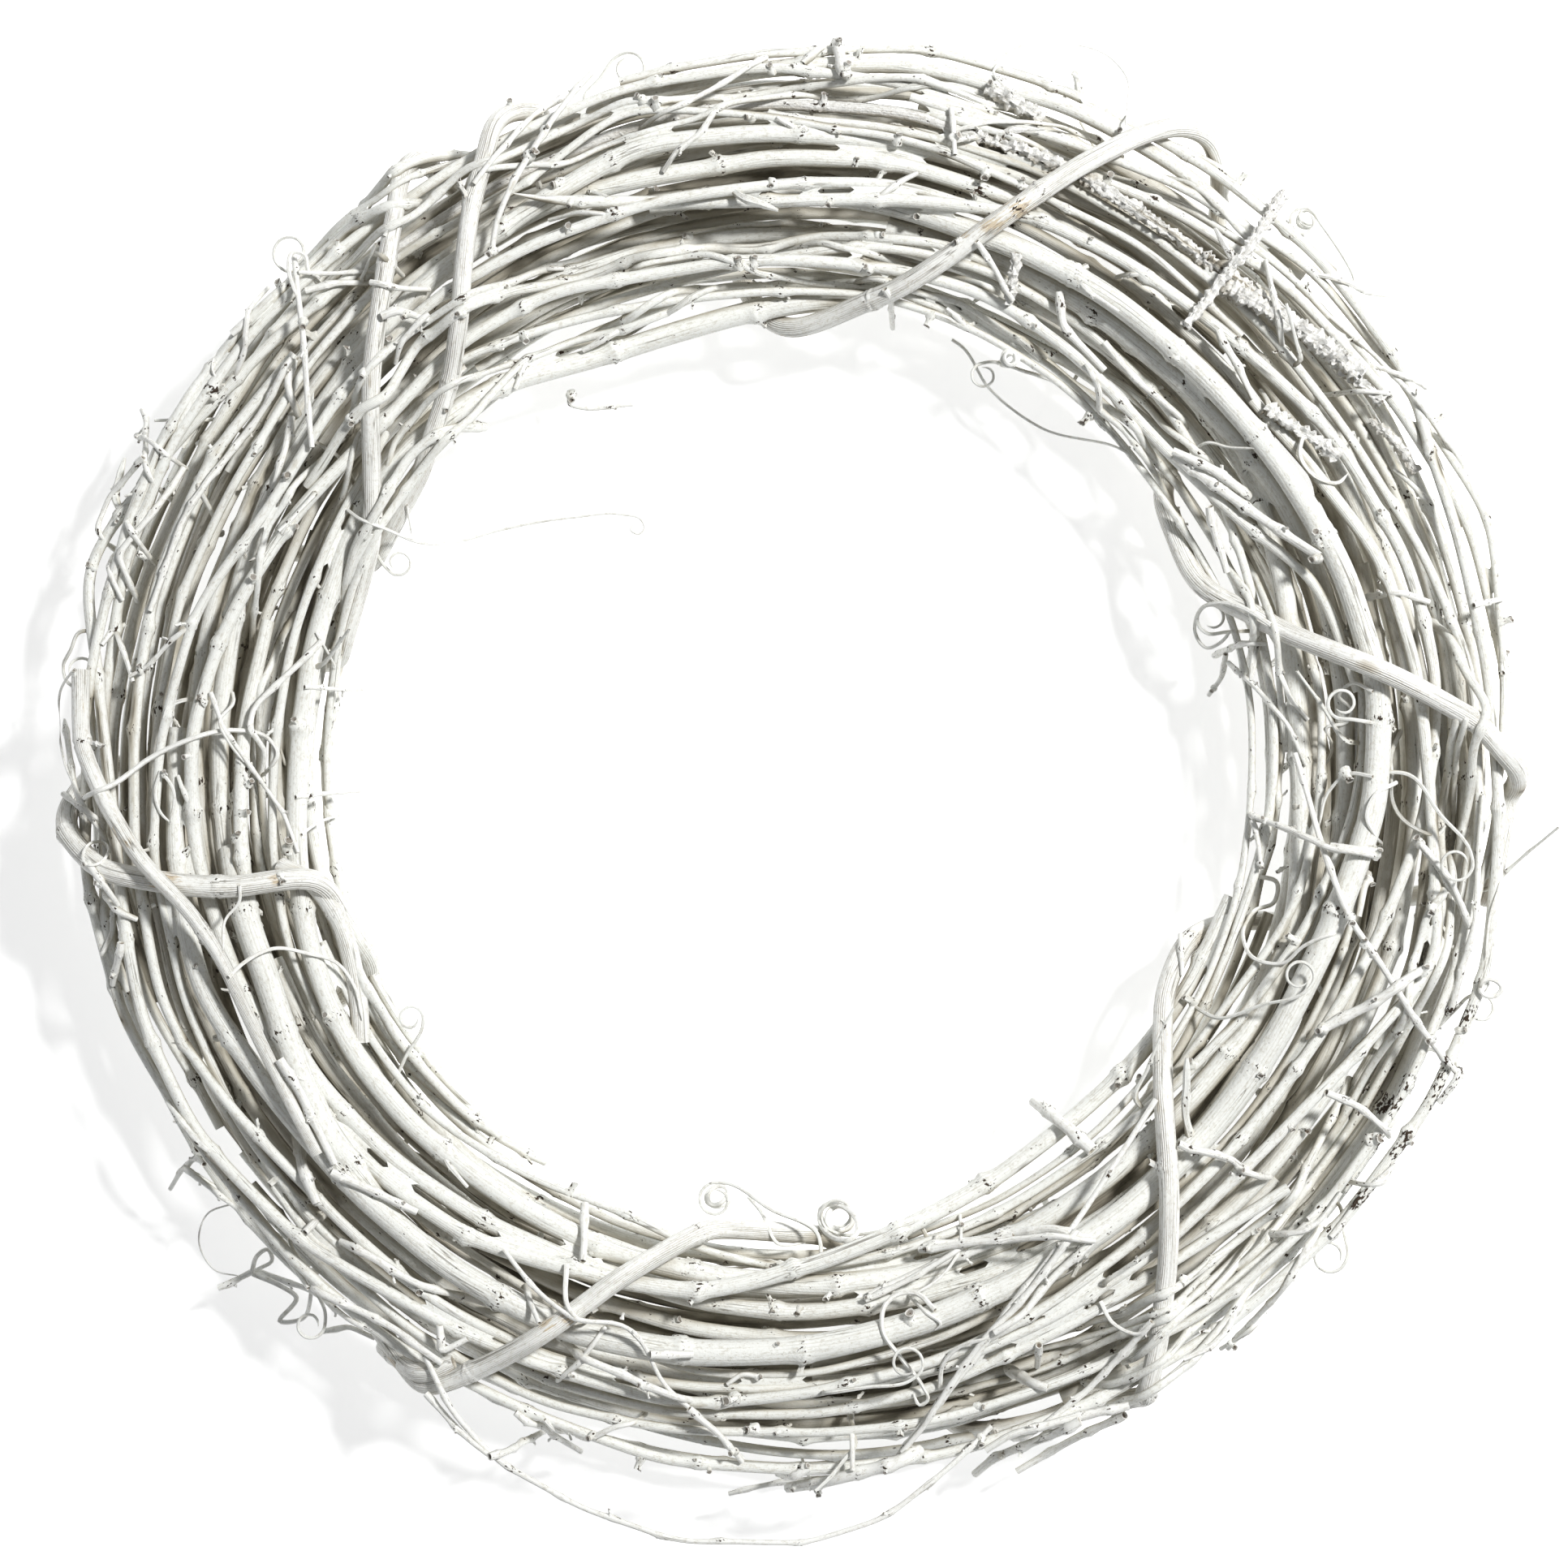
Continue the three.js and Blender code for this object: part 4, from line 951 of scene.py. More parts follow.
# Twigs and tendrils seen on the face: kind, thickness in mm, and places in mm about the ring's axis
SEEN = [
    ("tendril", 1.8, [(213, 14), (206, 3), (206, -7), (212, -18), (221, -22), (228, -19)]),
    ("tendril", 1.6, [(207, -4), (199, -8), (196, -16), (200, -23), (205, -26), (204, -30)]),
    ("tendril", 1.5, [(198, -2), (191, -1), (185, -7), (182, -19)]),
    ("twig", 2.2, [(160, -15), (170, -20), (180, -24)]),
    ("twig", 2, [(160, -17), (162, -25), (163, -33)]),
    ("tendril", 1.7, [(165, -37), (171, -39), (170, -46), (162, -49), (157, -56), (159, -64), (169, -66),
        (175, -60), (183, -56), (190, -55)]),
    ("twig", 2.4, [(215, -24), (224, -36), (231, -47), (233, -53)]),
    ("branch", 3, [(184, -26), (198, -27), (202, -26)]),
    ("branch", 3, [(201, -36), (197, -41), (195, -50)]),
    ("branch", 3.6, [(183, -88), (198, -80), (212, -70), (219, -67)]),
    ("branch", 2.6, [(183, -110), (196, -116), (208, -127)]),
    ("branch", 2.6, [(132, -127), (143, -131), (151, -133), (155, -137), (166, -141)]),
    ("twig", 2, [(136, -57), (136, -71)]),
    ("tendril", 1, [(247, -32), (241, -52), (240, -65)]),
    ("tendril", 0.9, [(72, 252), (84, 258), (99, 258), (113, 253), (119, 244), (118, 235), (115, 221)]),
    ("tendril", 1, [(72, 246), (70, 242), (73, 237), (78, 233)]),
    ("twig", 2, [(63, 180), (70, 171), (76, 161)]),
    ("twig", 2.2, [(32, 165), (34, 162), (36, 157)]),
    ("twig", 1.6, [(55, 220), (68, 223), (95, 224), (107, 220)]),
    ("twig", 2, [(55, 228), (56, 211)]),
    ("tendril", 1.7, [(164, 50), (155, 56), (149, 58), (143, 57), (141, 50), (146, 43), (150, 45),
        (153, 49)]),
    ("twig", 2.2, [(150, 41), (155, 44), (164, 44)]),
    ("twig", 2, [(152, 41), (152, 33), (148, 27)]),
    ("twig", 1.8, [(153, 38), (163, 27), (172, 16), (178, 2)]),
    ("tendril", 1.4, [(198, 27), (192, 30), (188, 26), (193, 21), (192, 17), (185, 15), (188, 8),
        (186, 2)]),
    ("tendril", 1.7, [(177, 119), (174, 108), (179, 101), (188, 99), (191, 102)]),
    ("tendril", 1.3, [(192, 113), (194, 117), (197, 113), (199, 117), (201, 113)]),
    ("tendril", 1.3, [(137, 109), (143, 113), (150, 111), (158, 110)]),
    ("branch", 2.4, [(198, 60), (209, 61), (219, 58)]),
    ("twig", 2, [(235, 57), (248, 60)]),
    ("tendril", 2, [(-246, -10), (-232, -5), (-220, 4), (-208, 10), (-192, 14), (-180, 11), (-177, 6),
        (-179, 2), (-185, -2)]),
    ("twig", 2.2, [(-162, 45), (-175, 32), (-185, 22), (-186, 15), (-181, 7), (-183, 0)]),
    ("twig", 1.6, [(-199, 27), (-195, 15), (-186, 2), (-175, -15), (-170, -28)]),
    ("tendril", 1.3, [(-193, 27), (-192, 24), (-196, 17), (-193, 10), (-188, 3)]),
    ("tendril", 1.4, [(-216, 0), (-218, -7), (-216, -15), (-213, -18)]),
    ("tendril", 1.3, [(-215, -1), (-212, -6), (-213, -18)]),
    ("tendril", 1.7, [(-207, 25), (-210, 24), (-213, 22), (-215, 18)]),
    ("tendril", 1.2, [(-188, -39), (-188, -44), (-193, -51), (-193, -61)]),
    ("tendril", 1.5, [(-191, -70), (-186, -65), (-178, -61), (-166, -63), (-157, -66), (-151, -74),
        (-148, -86)]),
    ("twig", 2.2, [(-258, 18), (-253, 4), (-249, -6), (-237, -24)]),
    ("twig", 2, [(-254, -8), (-244, -13), (-238, -18)]),
    ("tendril", 1, [(-246, 35), (-256, 27), (-258, 14), (-255, 4), (-249, -5)]),
    ("branch", 2.4, [(-240, -32), (-235, -39), (-231, -46)]),
    ("branch", 2.4, [(-239, -42), (-233, -47), (-225, -51)]),
    ("twig", 2, [(-235, -48), (-235, -56), (-239, -64)]),
    ("branch", 2.6, [(-230, -59), (-232, -66), (-235, -74)]),
    ("twig", 1.6, [(-168, 29), (-161, 29), (-152, 29)]),
    ("tendril", 1, [(-164, 48), (-161, 42), (-159, 36)]),
    ("twig", 1.5, [(-171, -9), (-162, -8), (-153, -7)]),
    ("tendril", 1.2, [(-169, -22), (-165, -18), (-158, -15)]),
    ("twig", 2, [(-203, -136), (-207, -134), (-214, -140), (-220, -148)]),
    ("tendril", 0.8, [(-192, -151), (-197, -153), (-207, -157), (-210, -166), (-204, -177), (-195, -179)]),
    ("branch", 3.5, [(46, -165), (65, -162), (76, -159), (89, -156), (103, -160)]),
    ("branch", 3, [(27, -181), (46, -172), (66, -164), (76, -159)]),
    ("twig", 2.3, [(97, -156), (87, -169), (76, -183), (69, -190), (62, -199), (53, -212), (46, -224),
        (38, -234)]),
    ("branch", 2.8, [(103, -160), (90, -172), (79, -185), (69, -191)]),
    ("twig", 2.4, [(123, -188), (115, -198), (101, -214), (87, -225), (76, -233)]),
    ("branch", 3, [(116, -218), (95, -223), (76, -228), (67, -234)]),
    ("branch", 3, [(116, -224), (100, -235), (80, -248)]),
    ("branch", 3.4, [(99, -223), (83, -235), (71, -243), (65, -249)]),
    ("twig", 2.2, [(21, -242), (16, -244), (-1, -250), (-22, -256)]),
    ("branch", 4.6, [(44, -234), (15, -244), (-1, -251)]),
    ("branch", 3, [(6, -240), (-6, -247)]),
    ("tendril", 1.3, [(4, -244), (9, -250), (11, -256)]),
    ("twig", 2, [(21, -224), (21, -240)]),
    ("twig", 2.4, [(-35, -218), (-26, -226), (-17, -238)]),
    ("tendril", 1.6, [(106, -182), (110, -189), (119, -192), (123, -188)]),
    ("branch", 2.6, [(85, -197), (86, -208)]),
    ("branch", 3.8, [(76, -209), (88, -212)]),
    ("tendril", 1.8, [(49, -184), (43, -179), (38, -179), (32, -183), (31, -190), (37, -200), (45, -211),
        (47, -216), (44, -218), (42, -214)]),
    ("tendril", 1.7, [(51, -212), (52, -203), (57, -197), (67, -193)]),
    ("tendril", 1.6, [(41, -181), (46, -185), (51, -189), (49, -191)]),
    ("tendril", 1.3, [(59, -155), (58, -164), (51, -174), (42, -179)]),
    ("tendril", 1.5, [(-15, -151), (-11, -154), (-4, -165), (5, -165)]),
    ("twig", 2, [(-12, -208), (-17, -207), (-22, -211)]),
    ("tendril", 1.9, [(-163, 168), (-166, 172), (-167, 177), (-171, 178), (-172, 171), (-170, 165),
        (-169, 162)]),
    ("twig", 1.6, [(-169, 171), (-157, 171), (-144, 172)]),
    ("branch", 2.6, [(-167, 165), (-156, 168), (-146, 168)]),
    ("twig", 2, [(-143, 178), (-138, 174), (-134, 171)]),
    ("twig", 2.2, [(-143, 166), (-134, 164), (-124, 165)]),
    ("branch", 2.8, [(-139, 154), (-133, 156), (-123, 153)]),
    ("twig", 2, [(-123, 155), (-132, 146), (-135, 139)]),
    ("branch", 3, [(-171, 141), (-173, 133), (-170, 123)]),
    ("branch", 2.6, [(-172, 122), (-174, 109), (-178, 97)]),
    ("tendril", 0.9, [(-195, 159), (-197, 148), (-199, 138), (-196, 132)]),
    ("twig", 2, [(-230, 128), (-226, 121), (-223, 108), (-218, 95)]),
    ("twig", 1.9, [(-232, 119), (-220, 113), (-210, 105)]),
    ("twig", 2, [(-223, 108), (-237, 95), (-241, 85), (-237, 76)]),
    ("branch", 2.4, [(-210, 105), (-220, 89), (-232, 75), (-227, 59)]),
    ("twig", 2, [(-229, 86), (-221, 72)]),
    ("twig", 2, [(-238, 76), (-231, 59)]),
    ("branch", 3, [(-186, 155), (-192, 150)]),
    ("twig", 2.2, [(-206, 102), (-200, 88)]),
    ("tendril", 1.3, [(-153, 90), (-149, 87), (-139, 83), (-130, 80), (-119, 81), (-105, 85), (-77, 90),
        (-60, 91), (-53, 89), (-52, 86), (-54, 84), (-57, 86), (-55, 88)]),
    ("tendril", 0.9, [(-133, 92), (-132, 81)]),
    ("tendril", 1.2, [(57, 153), (60, 151), (70, 136), (88, 122), (113, 113), (119, 109)]),
    ("twig", 2, [(-77, 134), (-79, 130), (-71, 128), (-64, 129), (-56, 130)]),
    ("branch", 4.8, [(104, -131), (96, -124), (86, -117)]),
    ("twig", 2.4, [(186.5, -153.7), (179.2, -164.6), (170.5, -179.2), (161, -194.9), (154.8, -204.7)]),
    ("twig", 2, [(169.4, -188.7), (161, -196), (152.3, -204.7)]),
    ("branch", 3, [(233.2, -99.7), (228.8, -107.5), (224, -114.8)]),
    ("twig", 2, [(186.5, -161), (197.4, -146.4), (208.3, -136.6)]),
    ("tendril", 2, [(194.3, -143.4), (204.7, -142.2), (212, -134.1)]),
    ("twig", 2, [(247, 34), (252, 36), (257, 38)]),
    ("twig", 2.2, [(-211, -139), (-191, -156), (-170.5, -175.5)]),
    ("twig", 2.2, [(-203, -183), (-190.5, -177), (-169, -182.5), (-147.5, -192)]),
    ("tendril", 1.8, [(-190.5, -176.5), (-189, -171.5), (-185, -169), (-183.5, -173), (-187.5, -175.5),
        (-191, -177)]),
    ("tendril", 2, [(-190, -177.5), (-180, -182), (-175, -186), (-181, -194.5), (-171.5, -192.5),
        (-169, -186), (-168.5, -179)]),
    ("twig", 2, [(-166, -198.5), (-157, -196.5), (-147.5, -201)]),
    ("branch", 2.8, [(-169, -177), (-153.5, -184), (-135, -192.5), (-119.5, -203)]),
    ("branch", 2.8, [(-155, -162), (-142.5, -167), (-129, -175.5), (-113.5, -182), (-99, -188)]),
    ("branch", 3.2, [(-162, -153.5), (-167, -158.5)]),
    ("branch", 3, [(-157, -137), (-142.5, -144), (-128, -151)]),
    ("branch", 4, [(-172, -127), (-168, -137), (-162.5, -148)]),
    ("branch", 3.4, [(-174, -98), (-166.5, -111), (-156, -134)]),
    ("branch", 2.6, [(-120.5, -190), (-120.5, -199.5), (-111, -194.5)]),
    ("twig", 2, [(-80.5, -210), (-72, -201), (-63.5, -190)]),
    ("branch", 3, [(-82, -196), (-65, -203), (-50, -209.5), (-34.5, -215.5)]),
    ("tendril", 2, [(-77, -169), (-76, -181.5), (-69.5, -188.5)]),
    ("twig", 2, [(-91.5, -177.5), (-85.5, -187.5)]),
    ("twig", 2.2, [(-125.5, -214), (-114.5, -225), (-103, -234)]),
    ("branch", 2.6, [(-103, -234), (-85.5, -232.5)]),
    ("branch", 2.4, [(-95, -221), (-85.5, -228.5), (-74.5, -241)]),
    ("branch", 3, [(-48, -198.5), (-33.5, -199)]),
    ("branch", 3, [(-71.5, -150), (-71, -162), (-71.5, -168)]),
    ("branch", 3, [(92, 165), (93.5, 153.5), (108, 138)]),
    ("branch", 2.6, [(108, 148), (122, 132.5), (137.5, 119.5)]),
    ("branch", 2.8, [(146, 151), (152, 140), (158.5, 128)]),
    ("twig", 1.8, [(182.5, 132.5), (198, 130.5), (212.5, 129.5)]),
    ("twig", 2, [(222.5, 93.5), (211, 105.5)]),
    ("branch", 3, [(144, 91), (147, 80), (151, 69)]),
    ("branch", 4, [(132, 108.5), (150, 95), (180, 73)]),
]

# More of them, with places as angle and radius
SEEN_BY_ANGLE = [
    ("twig", 2, [(92, 247), (95.5, 238), (99, 232), (103, 229)]),
    ("twig", 2.2, [(108, 253), (113.5, 238), (118.4, 227)]),
    ("branch", 2.5, [(140.5, 222), (147, 220), (153, 224), (158, 226), (166, 227)]),
    ("twig", 2, [(213, 253), (218, 248), (223, 245), (227, 245)]),
    ("twig", 2.2, [(278, 184), (283.8, 179), (289.7, 174)]),
    ("branch", 2.5, [(285, 171), (292, 174), (299.7, 182), (302.8, 190)]),
    ("twig", 2.2, [(347, 240), (350.5, 229), (353.8, 215)]),
    ("twig", 2, [(351.7, 202), (351.7, 186), (353, 174), (354.3, 162)]),
    ("branch", 2.4, [(338, 244), (348, 241), (358, 239)]),
    ("branch", 3.4, [(31, 184), (35.5, 178), (40, 171)]),
    ("branch", 2, [(23, 261), (28, 254), (35.5, 249), (40, 246)]),
    ("branch", 2.6, [(89, 245), (87.6, 251), (86.4, 255.5)]),
    ("branch", 4.2, [(85.6, 241), (86.2, 249), (86.5, 256.5)]),
    ("twig", 2, [(41.3, 263), (38.9, 268.5)]),
]

# Thick canes seen under the binding vines: material, thickness in mm, how deep they lie, and places in mm
SEEN_CANES = [
    ("cane", 9.4, 6.5, [
        (-193.5, -27.5), (-188.5, -48), (-181, -70), (-172, -96), (-160, -122), (-143, -146)]),
    ("stub", 6.6, 0.5, [(-143.5, -204), (-135, -206.4), (-126, -207.4), (-116, -203.5)]),
    ("vine", 6.6, 1.5, [(-176, -33), (-166, -38), (-158, -49), (-153, -63), (-150, -79), (-149, -94)]),
]

# The view is read from its left and top in steps of this many mm, and the ring's axis is at its middle
VIEW_STEP = 0.28
VIEW_MIDDLE = (975, 950)

# Knuckles seen on the face: steps across and down in the view, half thickness in mm, heading in degrees
SEEN_KNUCKLES = [
    (348, 1046, 3.0, 90), (354, 1074, 1.9, 300), (289, 1030, 1.9, 70), (96, 832, 1.3, 110),
    (115, 698, 1.8, 150), (272, 496, 2.0, 140), (912, 330, 2.1, 100), (929, 329, 2.1, 80),
    (1033, 46, 2.2, 95), (1605, 693, 2.1, 200), (1697, 1049, 2.0, 60), (1699, 1076, 1.8, 300),
    (1737, 1030, 2.1, 130), (1760, 1116, 2.0, 250), (1654, 1129, 1.9, 270), (1552, 1006, 1.4, 140),
    (1560, 1065, 1.3, 280), (1645, 950, 2.5, 290), (1590, 993, 1.2, 0), (1873, 806, 1.5, 60),
    (1503, 854, 1.3, 230), (1050, 76, 1.8, 60), (950, 95, 1.8, 120), (1048, 99, 1.9, 200),
    (1104, 178, 2.0, 80), (1055, 209, 1.5, 70), (1209, 227, 2.2, 250), (1258, 226, 1.8, 80),
    (1181, 166, 1.9, 20), (1022, 258, 1.7, 240), (951, 229, 1.5, 260), (1081, 290, 1.6, 0),
    (1174, 304, 1.7, 200), (1067, 344, 1.7, 150), (1229, 104, 1.8, 160), (1339, 304, 1.3, 60),
    (924, 151, 1.9, 190), (950, 1604, 1.7, 275), (984, 1606, 1.6, 240), (1072, 1596, 1.2, 180),
    (1117, 1615, 2.7, 100), (902, 1710, 2.8, 185), (933, 1694, 1.3, 20), (928, 1750, 2.4, 180),
    (793, 1699, 1.4, 160), (912, 1794, 1.6, 200), (875, 1813, 1.5, 270), (981, 1797, 1.5, 30),
    (960, 1762, 1.3, 200), (1138, 1541, 1.7, 190), (1184, 1506, 1.3, 80), (835, 1625, 1.7, 20),
    (956, 1643, 1.3, 60), (721, 1762, 1.9, 200), (726, 1817, 1.5, 260), (1214, 1773, 1.9, 270),
    (1230, 1818, 1.5, 60), (1205, 1724, 1.7, 0), (1016, 1857, 1.5, 280), (970, 1846, 1.5, 230),
    (1399, 1327, 1.7, 120), (1757, 1192, 1.9, 70), (1662, 1168, 1.6, 90), (1620, 1271, 2.2, 200),
    (1550, 1318, 1.7, 240), (1592, 1392, 1.4, 300), (1685, 1402, 2.6, 20), (1522, 1436, 1.6, 320),
    (1459, 1564, 1.8, 240), (1557, 1529, 1.6, 30), (1771, 1273, 1.8, 200), (1799, 1269, 1.8, 20),
    (1731, 1392, 1.7, 300), (1740, 1410, 1.6, 340), (1536, 1680, 1.8, 300), (634, 121, 1.8, 100),
    (791, 127, 1.9, 150), (681, 224, 2.5, 200), (666, 193, 2.3, 30), (704, 256, 1.7, 250),
    (610, 317, 1.9, 230), (847, 282, 1.7, 160), (636, 350, 1.1, 120), (584, 406, 1.6, 190),
    (507, 406, 1.7, 240), (385, 399, 1.9, 270), (556, 510, 1.4, 300), (692, 470, 2.0, 275),
    (430, 528, 2.0, 280), (453, 469, 1.7, 250), (674, 162, 1.4, 30), (230, 930, 1.6, 200),
    (170, 816, 1.6, 100), (195, 860, 1.5, 60), (259, 868, 1.9, 130), (211, 955, 1.2, 90),
    (116, 1063, 1.3, 200), (121, 1097, 1.4, 160), (135, 1209, 1.3, 250), (259, 1187, 1.8, 150),
    (313, 962, 1.7, 40),
]

# Coils: middle in mm about the ring's axis, radius, turns and thickness in mm
COILS = [
    (16.5, -156.8, 6.3, 2.3, 2.0),
    (241.6, -74.8, 3.7, 1.6, 1.9),
    (-238.8, -28.3, 4.2, 1.4, 1.1),
    (182.6, 195.5, 4.0, 3.4, 1.0),
    (75.6, 142.8, 3.0, 3.2, 1.4),
    (-26, -150, 4.4, 1.7, 1.8),
]

# Short pieces with thick crumbly bark: thickness in mm, and places as angle and radius
SEEN_ROUGH = [
    (6.3, [(48.5, 222.5), (43.8, 228), (39.9, 232.7), (34.7, 238.7)]),
    (4.5, [(29.7, 216), (32, 213), (34.7, 208), (37.5, 205)]),
    (3.4, [(25.5, 241), (28, 240), (31, 237)]),
    (6.0, [(69, 242), (74, 246)]),
    (3.8, [(66.5, 193), (65.8, 185), (65, 177)]),
]


# Webs of dried paint between stems that nearly touch
RING_RADIUS = 208 * MM
RING_HEIGHT = 38 * MM
WEB_STEP = 2.4 * MM
WEB_GAP = 2.3 * MM
WEB_SINK = 0.35 * MM
WEB_HALF_THICK = 0.32 * MM
WEB_LENGTHS = (8, 42)
WEB_BREAKS = (4, 14)
WEB_MOST_HALF = 2.9 * MM
WEB_LEAST_FACING = 0.35
WEB_LEAST_OPEN = 0.3


def close_pairs(stems):
    """Rows of two stems that run side by side and nearly touch: for each pair, a list of row numbers."""
    rows = [resampled(line, WEB_STEP) for line in stems]
    owner = [(a, i) for a, line in enumerate(rows) for i in range(len(line))]
    tree = KDTree(len(owner))
    for k, (a, i) in enumerate(owner):
        tree.insert(Vector(rows[a][i, :3]), k)
    tree.balance()
    ways = [section_frames(line)[0] for line in rows]
    pairs = {}
    for a, i in owner:
        half = rows[a][i, 3]
        best = {}
        for _, k, away in tree.find_range(Vector(rows[a][i, :3]), half + 6 * MM):
            b, j = owner[k]
            gap = away - half - rows[b][j, 3]
            if b > a and gap < WEB_GAP and gap < best.get(b, (1, 0))[0]:
                best[b] = (gap, j)
        for b, (_, j) in best.items():
            if abs(ways[a][i].dot(ways[b][j])) > 0.9:
                pairs.setdefault((a, b), []).append((i, j))
    return rows, pairs


def split_runs(found):
    runs = [[found[0]]]
    for before, now in zip(found, found[1:]):
        if now[0] - before[0] > 2 or abs(now[1] - before[1]) > 6:
            runs.append([])
        runs[-1].append(now)
    return [run for run in runs if len(run) > 3]


def web_between(first, second):
    """A web's middle, two directions and half width at each row, and how far it faces out of the bundle."""
    apart = second[:, :3] - first[:, :3]
    away = np.linalg.norm(apart, axis=1)
    across = apart / away[:, None]
    along = section_frames(first)[0]
    face = np.cross(along, across)
    face /= np.linalg.norm(face, axis=1)[:, None]
    middle = (first[:, :3] + second[:, :3]) / 2
    flat = middle - np.array(RING_AXIS)
    flat[:, 2] = 0
    core = np.array(RING_AXIS) + flat / np.linalg.norm(flat, axis=1)[:, None] * RING_RADIUS
    core[:, 2] = RING_HEIGHT
    out = middle - core
    face *= np.sign((face * out).sum(1).mean())
    lift = 0.56 * np.minimum(first[:, 3], second[:, 3])
    from_first = np.sqrt(first[:, 3] ** 2 - lift ** 2)
    from_second = np.sqrt(second[:, 3] ** 2 - lift ** 2)
    half = np.maximum((away - from_first - from_second) / 2, 0) + WEB_SINK
    centre = first[:, :3] + across * (from_first - WEB_SINK + half)[:, None] + face * lift[:, None]
    facing = float(((face * out).sum(1) / np.linalg.norm(out, axis=1)).mean())
    return centre, across, face, half, facing


def put_web(centre, across, face, half):
    """A thin web with hollow ends, whose edges are sunk in the two stems."""
    line = np.column_stack([centre, half])
    at = lengths_along(line)
    mesh, unit = stock_for(8, at[-1] / (2.6 * MM))
    mesh = mesh.copy()
    places = unit[:, 2] * at[-1]
    along = blended(places, at, np.gradient(centre, axis=0))
    along /= np.linalg.norm(along, axis=1)[:, None]
    wide = np.interp(places, at, half)
    reach = np.hypot(unit[:, 0], unit[:, 1])
    end = np.minimum(places, at[-1] - places)
    pull = 1.9 * wide * (1 - unit[:, 0] ** 2 / np.maximum(reach, 0.1) ** 2 * reach ** 2)
    pull *= np.clip(1 - end / (0.35 * at[-1]), 0, 1) * np.where(unit[:, 2] > 0.5, -1, 1)
    co = blended(places, at, centre) + blended(places, at, across) * (wide * unit[:, 0])[:, None]
    co += along * pull[:, None]
    dip = 0.22 * wide * (1 - unit[:, 0] ** 2)
    co += blended(places, at, face) * (unit[:, 1] * WEB_HALF_THICK - dip)[:, None]
    mesh.vertices.foreach_set("co", co.ravel())
    shift = dice.random() * 100
    put_values(mesh, "straight", np.stack([wide * unit[:, 0], 0 * places, places + shift], axis=1))
    # Webs get a fixed high openness, so their paint is thick and they get little painted shade
    for label, value in (("knot", 0), ("cut", 0), ("spray_and_shade", 0.9), ("worn", 0)):
        put_values(mesh, label, np.full(len(co), float(value)))
    mesh.update()
    return linked("web", mesh)


def span_webs(stems, laid):
    """Webs of uneven length, with breaks between them, where two stems run close together and face out."""
    rows, pairs = close_pairs(stems)
    runs = [(a, b, run) for (a, b), found in sorted(pairs.items()) for run in split_runs(found)]
    for a, b, run in runs:
        first = rows[a][[i for i, _ in run]]
        second = smoothed(rows[b][[j for _, j in run]], 4 * MM, WEB_STEP)
        start = dice.randrange(0, 3)
        while start < len(run) - 3:
            stop = min(start + int(dice.uniform(*WEB_LENGTHS) * MM / WEB_STEP) + 2, len(run))
            part = slice(start, stop)
            start = stop + int(dice.uniform(*WEB_BREAKS) * MM / WEB_STEP)
            if stop - part.start < 4:
                continue
            centre, across, face, half, facing = web_between(first[part], second[part])
            middle = len(centre) // 2
            if facing < WEB_LEAST_FACING or half.max() > WEB_MOST_HALF:
                continue
            if openness(Vector(centre[middle]), Vector(face[middle]), 1.4 * MM) < WEB_LEAST_OPEN:
                continue
            laid["paint_webs_" + quarter_of(centre)].append(put_web(centre, across, face, half))


def quarter_of(line):
    """The quarter of the ring that a stem's middle is in, by name."""
    middle = line[len(line) // 2]
    across = "right" if middle[0] > 0 else "left"
    return ("upper_" if middle[1] > 0 else "lower_") + across


# Laid stems: nodes, how much they taper, and how far the ends of the thick cane bend down into the bundle
LAID_TWIG_NODES = (8 * MM, 19 * MM)
TENDRIL_PASSES = 90
TENDRIL_TAPER = 0.72
TWIG_TAPER = 0.82
CANE_LEAST = 20 * MM
CANE_END_SINK = 7 * MM
CANE_END_REACH = 14 * MM

# How far the end of the short vine bends down, in mm
VINE_END_SINK = 8

# How the cut end of the lower left vine widens: lengths from its end and shares
STUB_FLARE = ([0, 3 * MM, 9 * MM, 14 * MM], [1.12, 1.16, 1.06, 1])


def seen_stem(kind, thick, points):
    half = thick * MM / 2
    if kind == "tendril":
        line = plan_line(points, half, passes=TENDRIL_PASSES)
        line[:, 3] = np.linspace(half, half * TENDRIL_TAPER, len(line))
        return line, ()
    line = plan_line(points, half, smooth=False)
    total = lengths_along(line)[-1]
    line[:, 3] = np.linspace(half, half * TWIG_TAPER, len(line))
    nodes = node_places(total, LAID_TWIG_NODES)
    return zigzag(line, nodes, 0.5 * MM), nodes


def near_ends(line, reach):
    """1 at both ends of a stem, falling to 0 away from them."""
    at = lengths_along(line)
    return np.exp(-at / reach) + np.exp((at - at[-1]) / reach)


def lay_seen_canes(models, laid):
    for kind, thick, deep, points in SEEN_CANES:
        line = plan_line(points, thick * MM / 2, CANE_LEAST)
        line[:, 2] -= deep * MM
        nodes = node_places(lengths_along(line)[-1], (40 * MM, 70 * MM))
        if kind == "stub":
            line[:, 3] *= np.interp(lengths_along(line), *STUB_FLARE)
            stub = put_stem("vine", line, 32, 1.2 * MM, [(12 * MM, 5)], 0.15, 0.014, ribs=0.012, tip=0.9)
            laid["vine_cut_end_lower_left"].append(stub)
        elif kind == "vine":
            line[:, 2] -= np.linspace(0, VINE_END_SINK, len(line)) * MM
            laid["vine_turned_down_left"].append(put_vine("vine", line, nodes))
        else:
            line[:, 2] -= CANE_END_SINK * near_ends(line, CANE_END_REACH)
            laid["thick_cane_left"].append(put_stem("cane", line, 18, 2.2 * MM, nodes, 0.2))
            laid["thick_cane_left"] += grow_buds(models, line, nodes, 0.7)
        raise_ground(line)


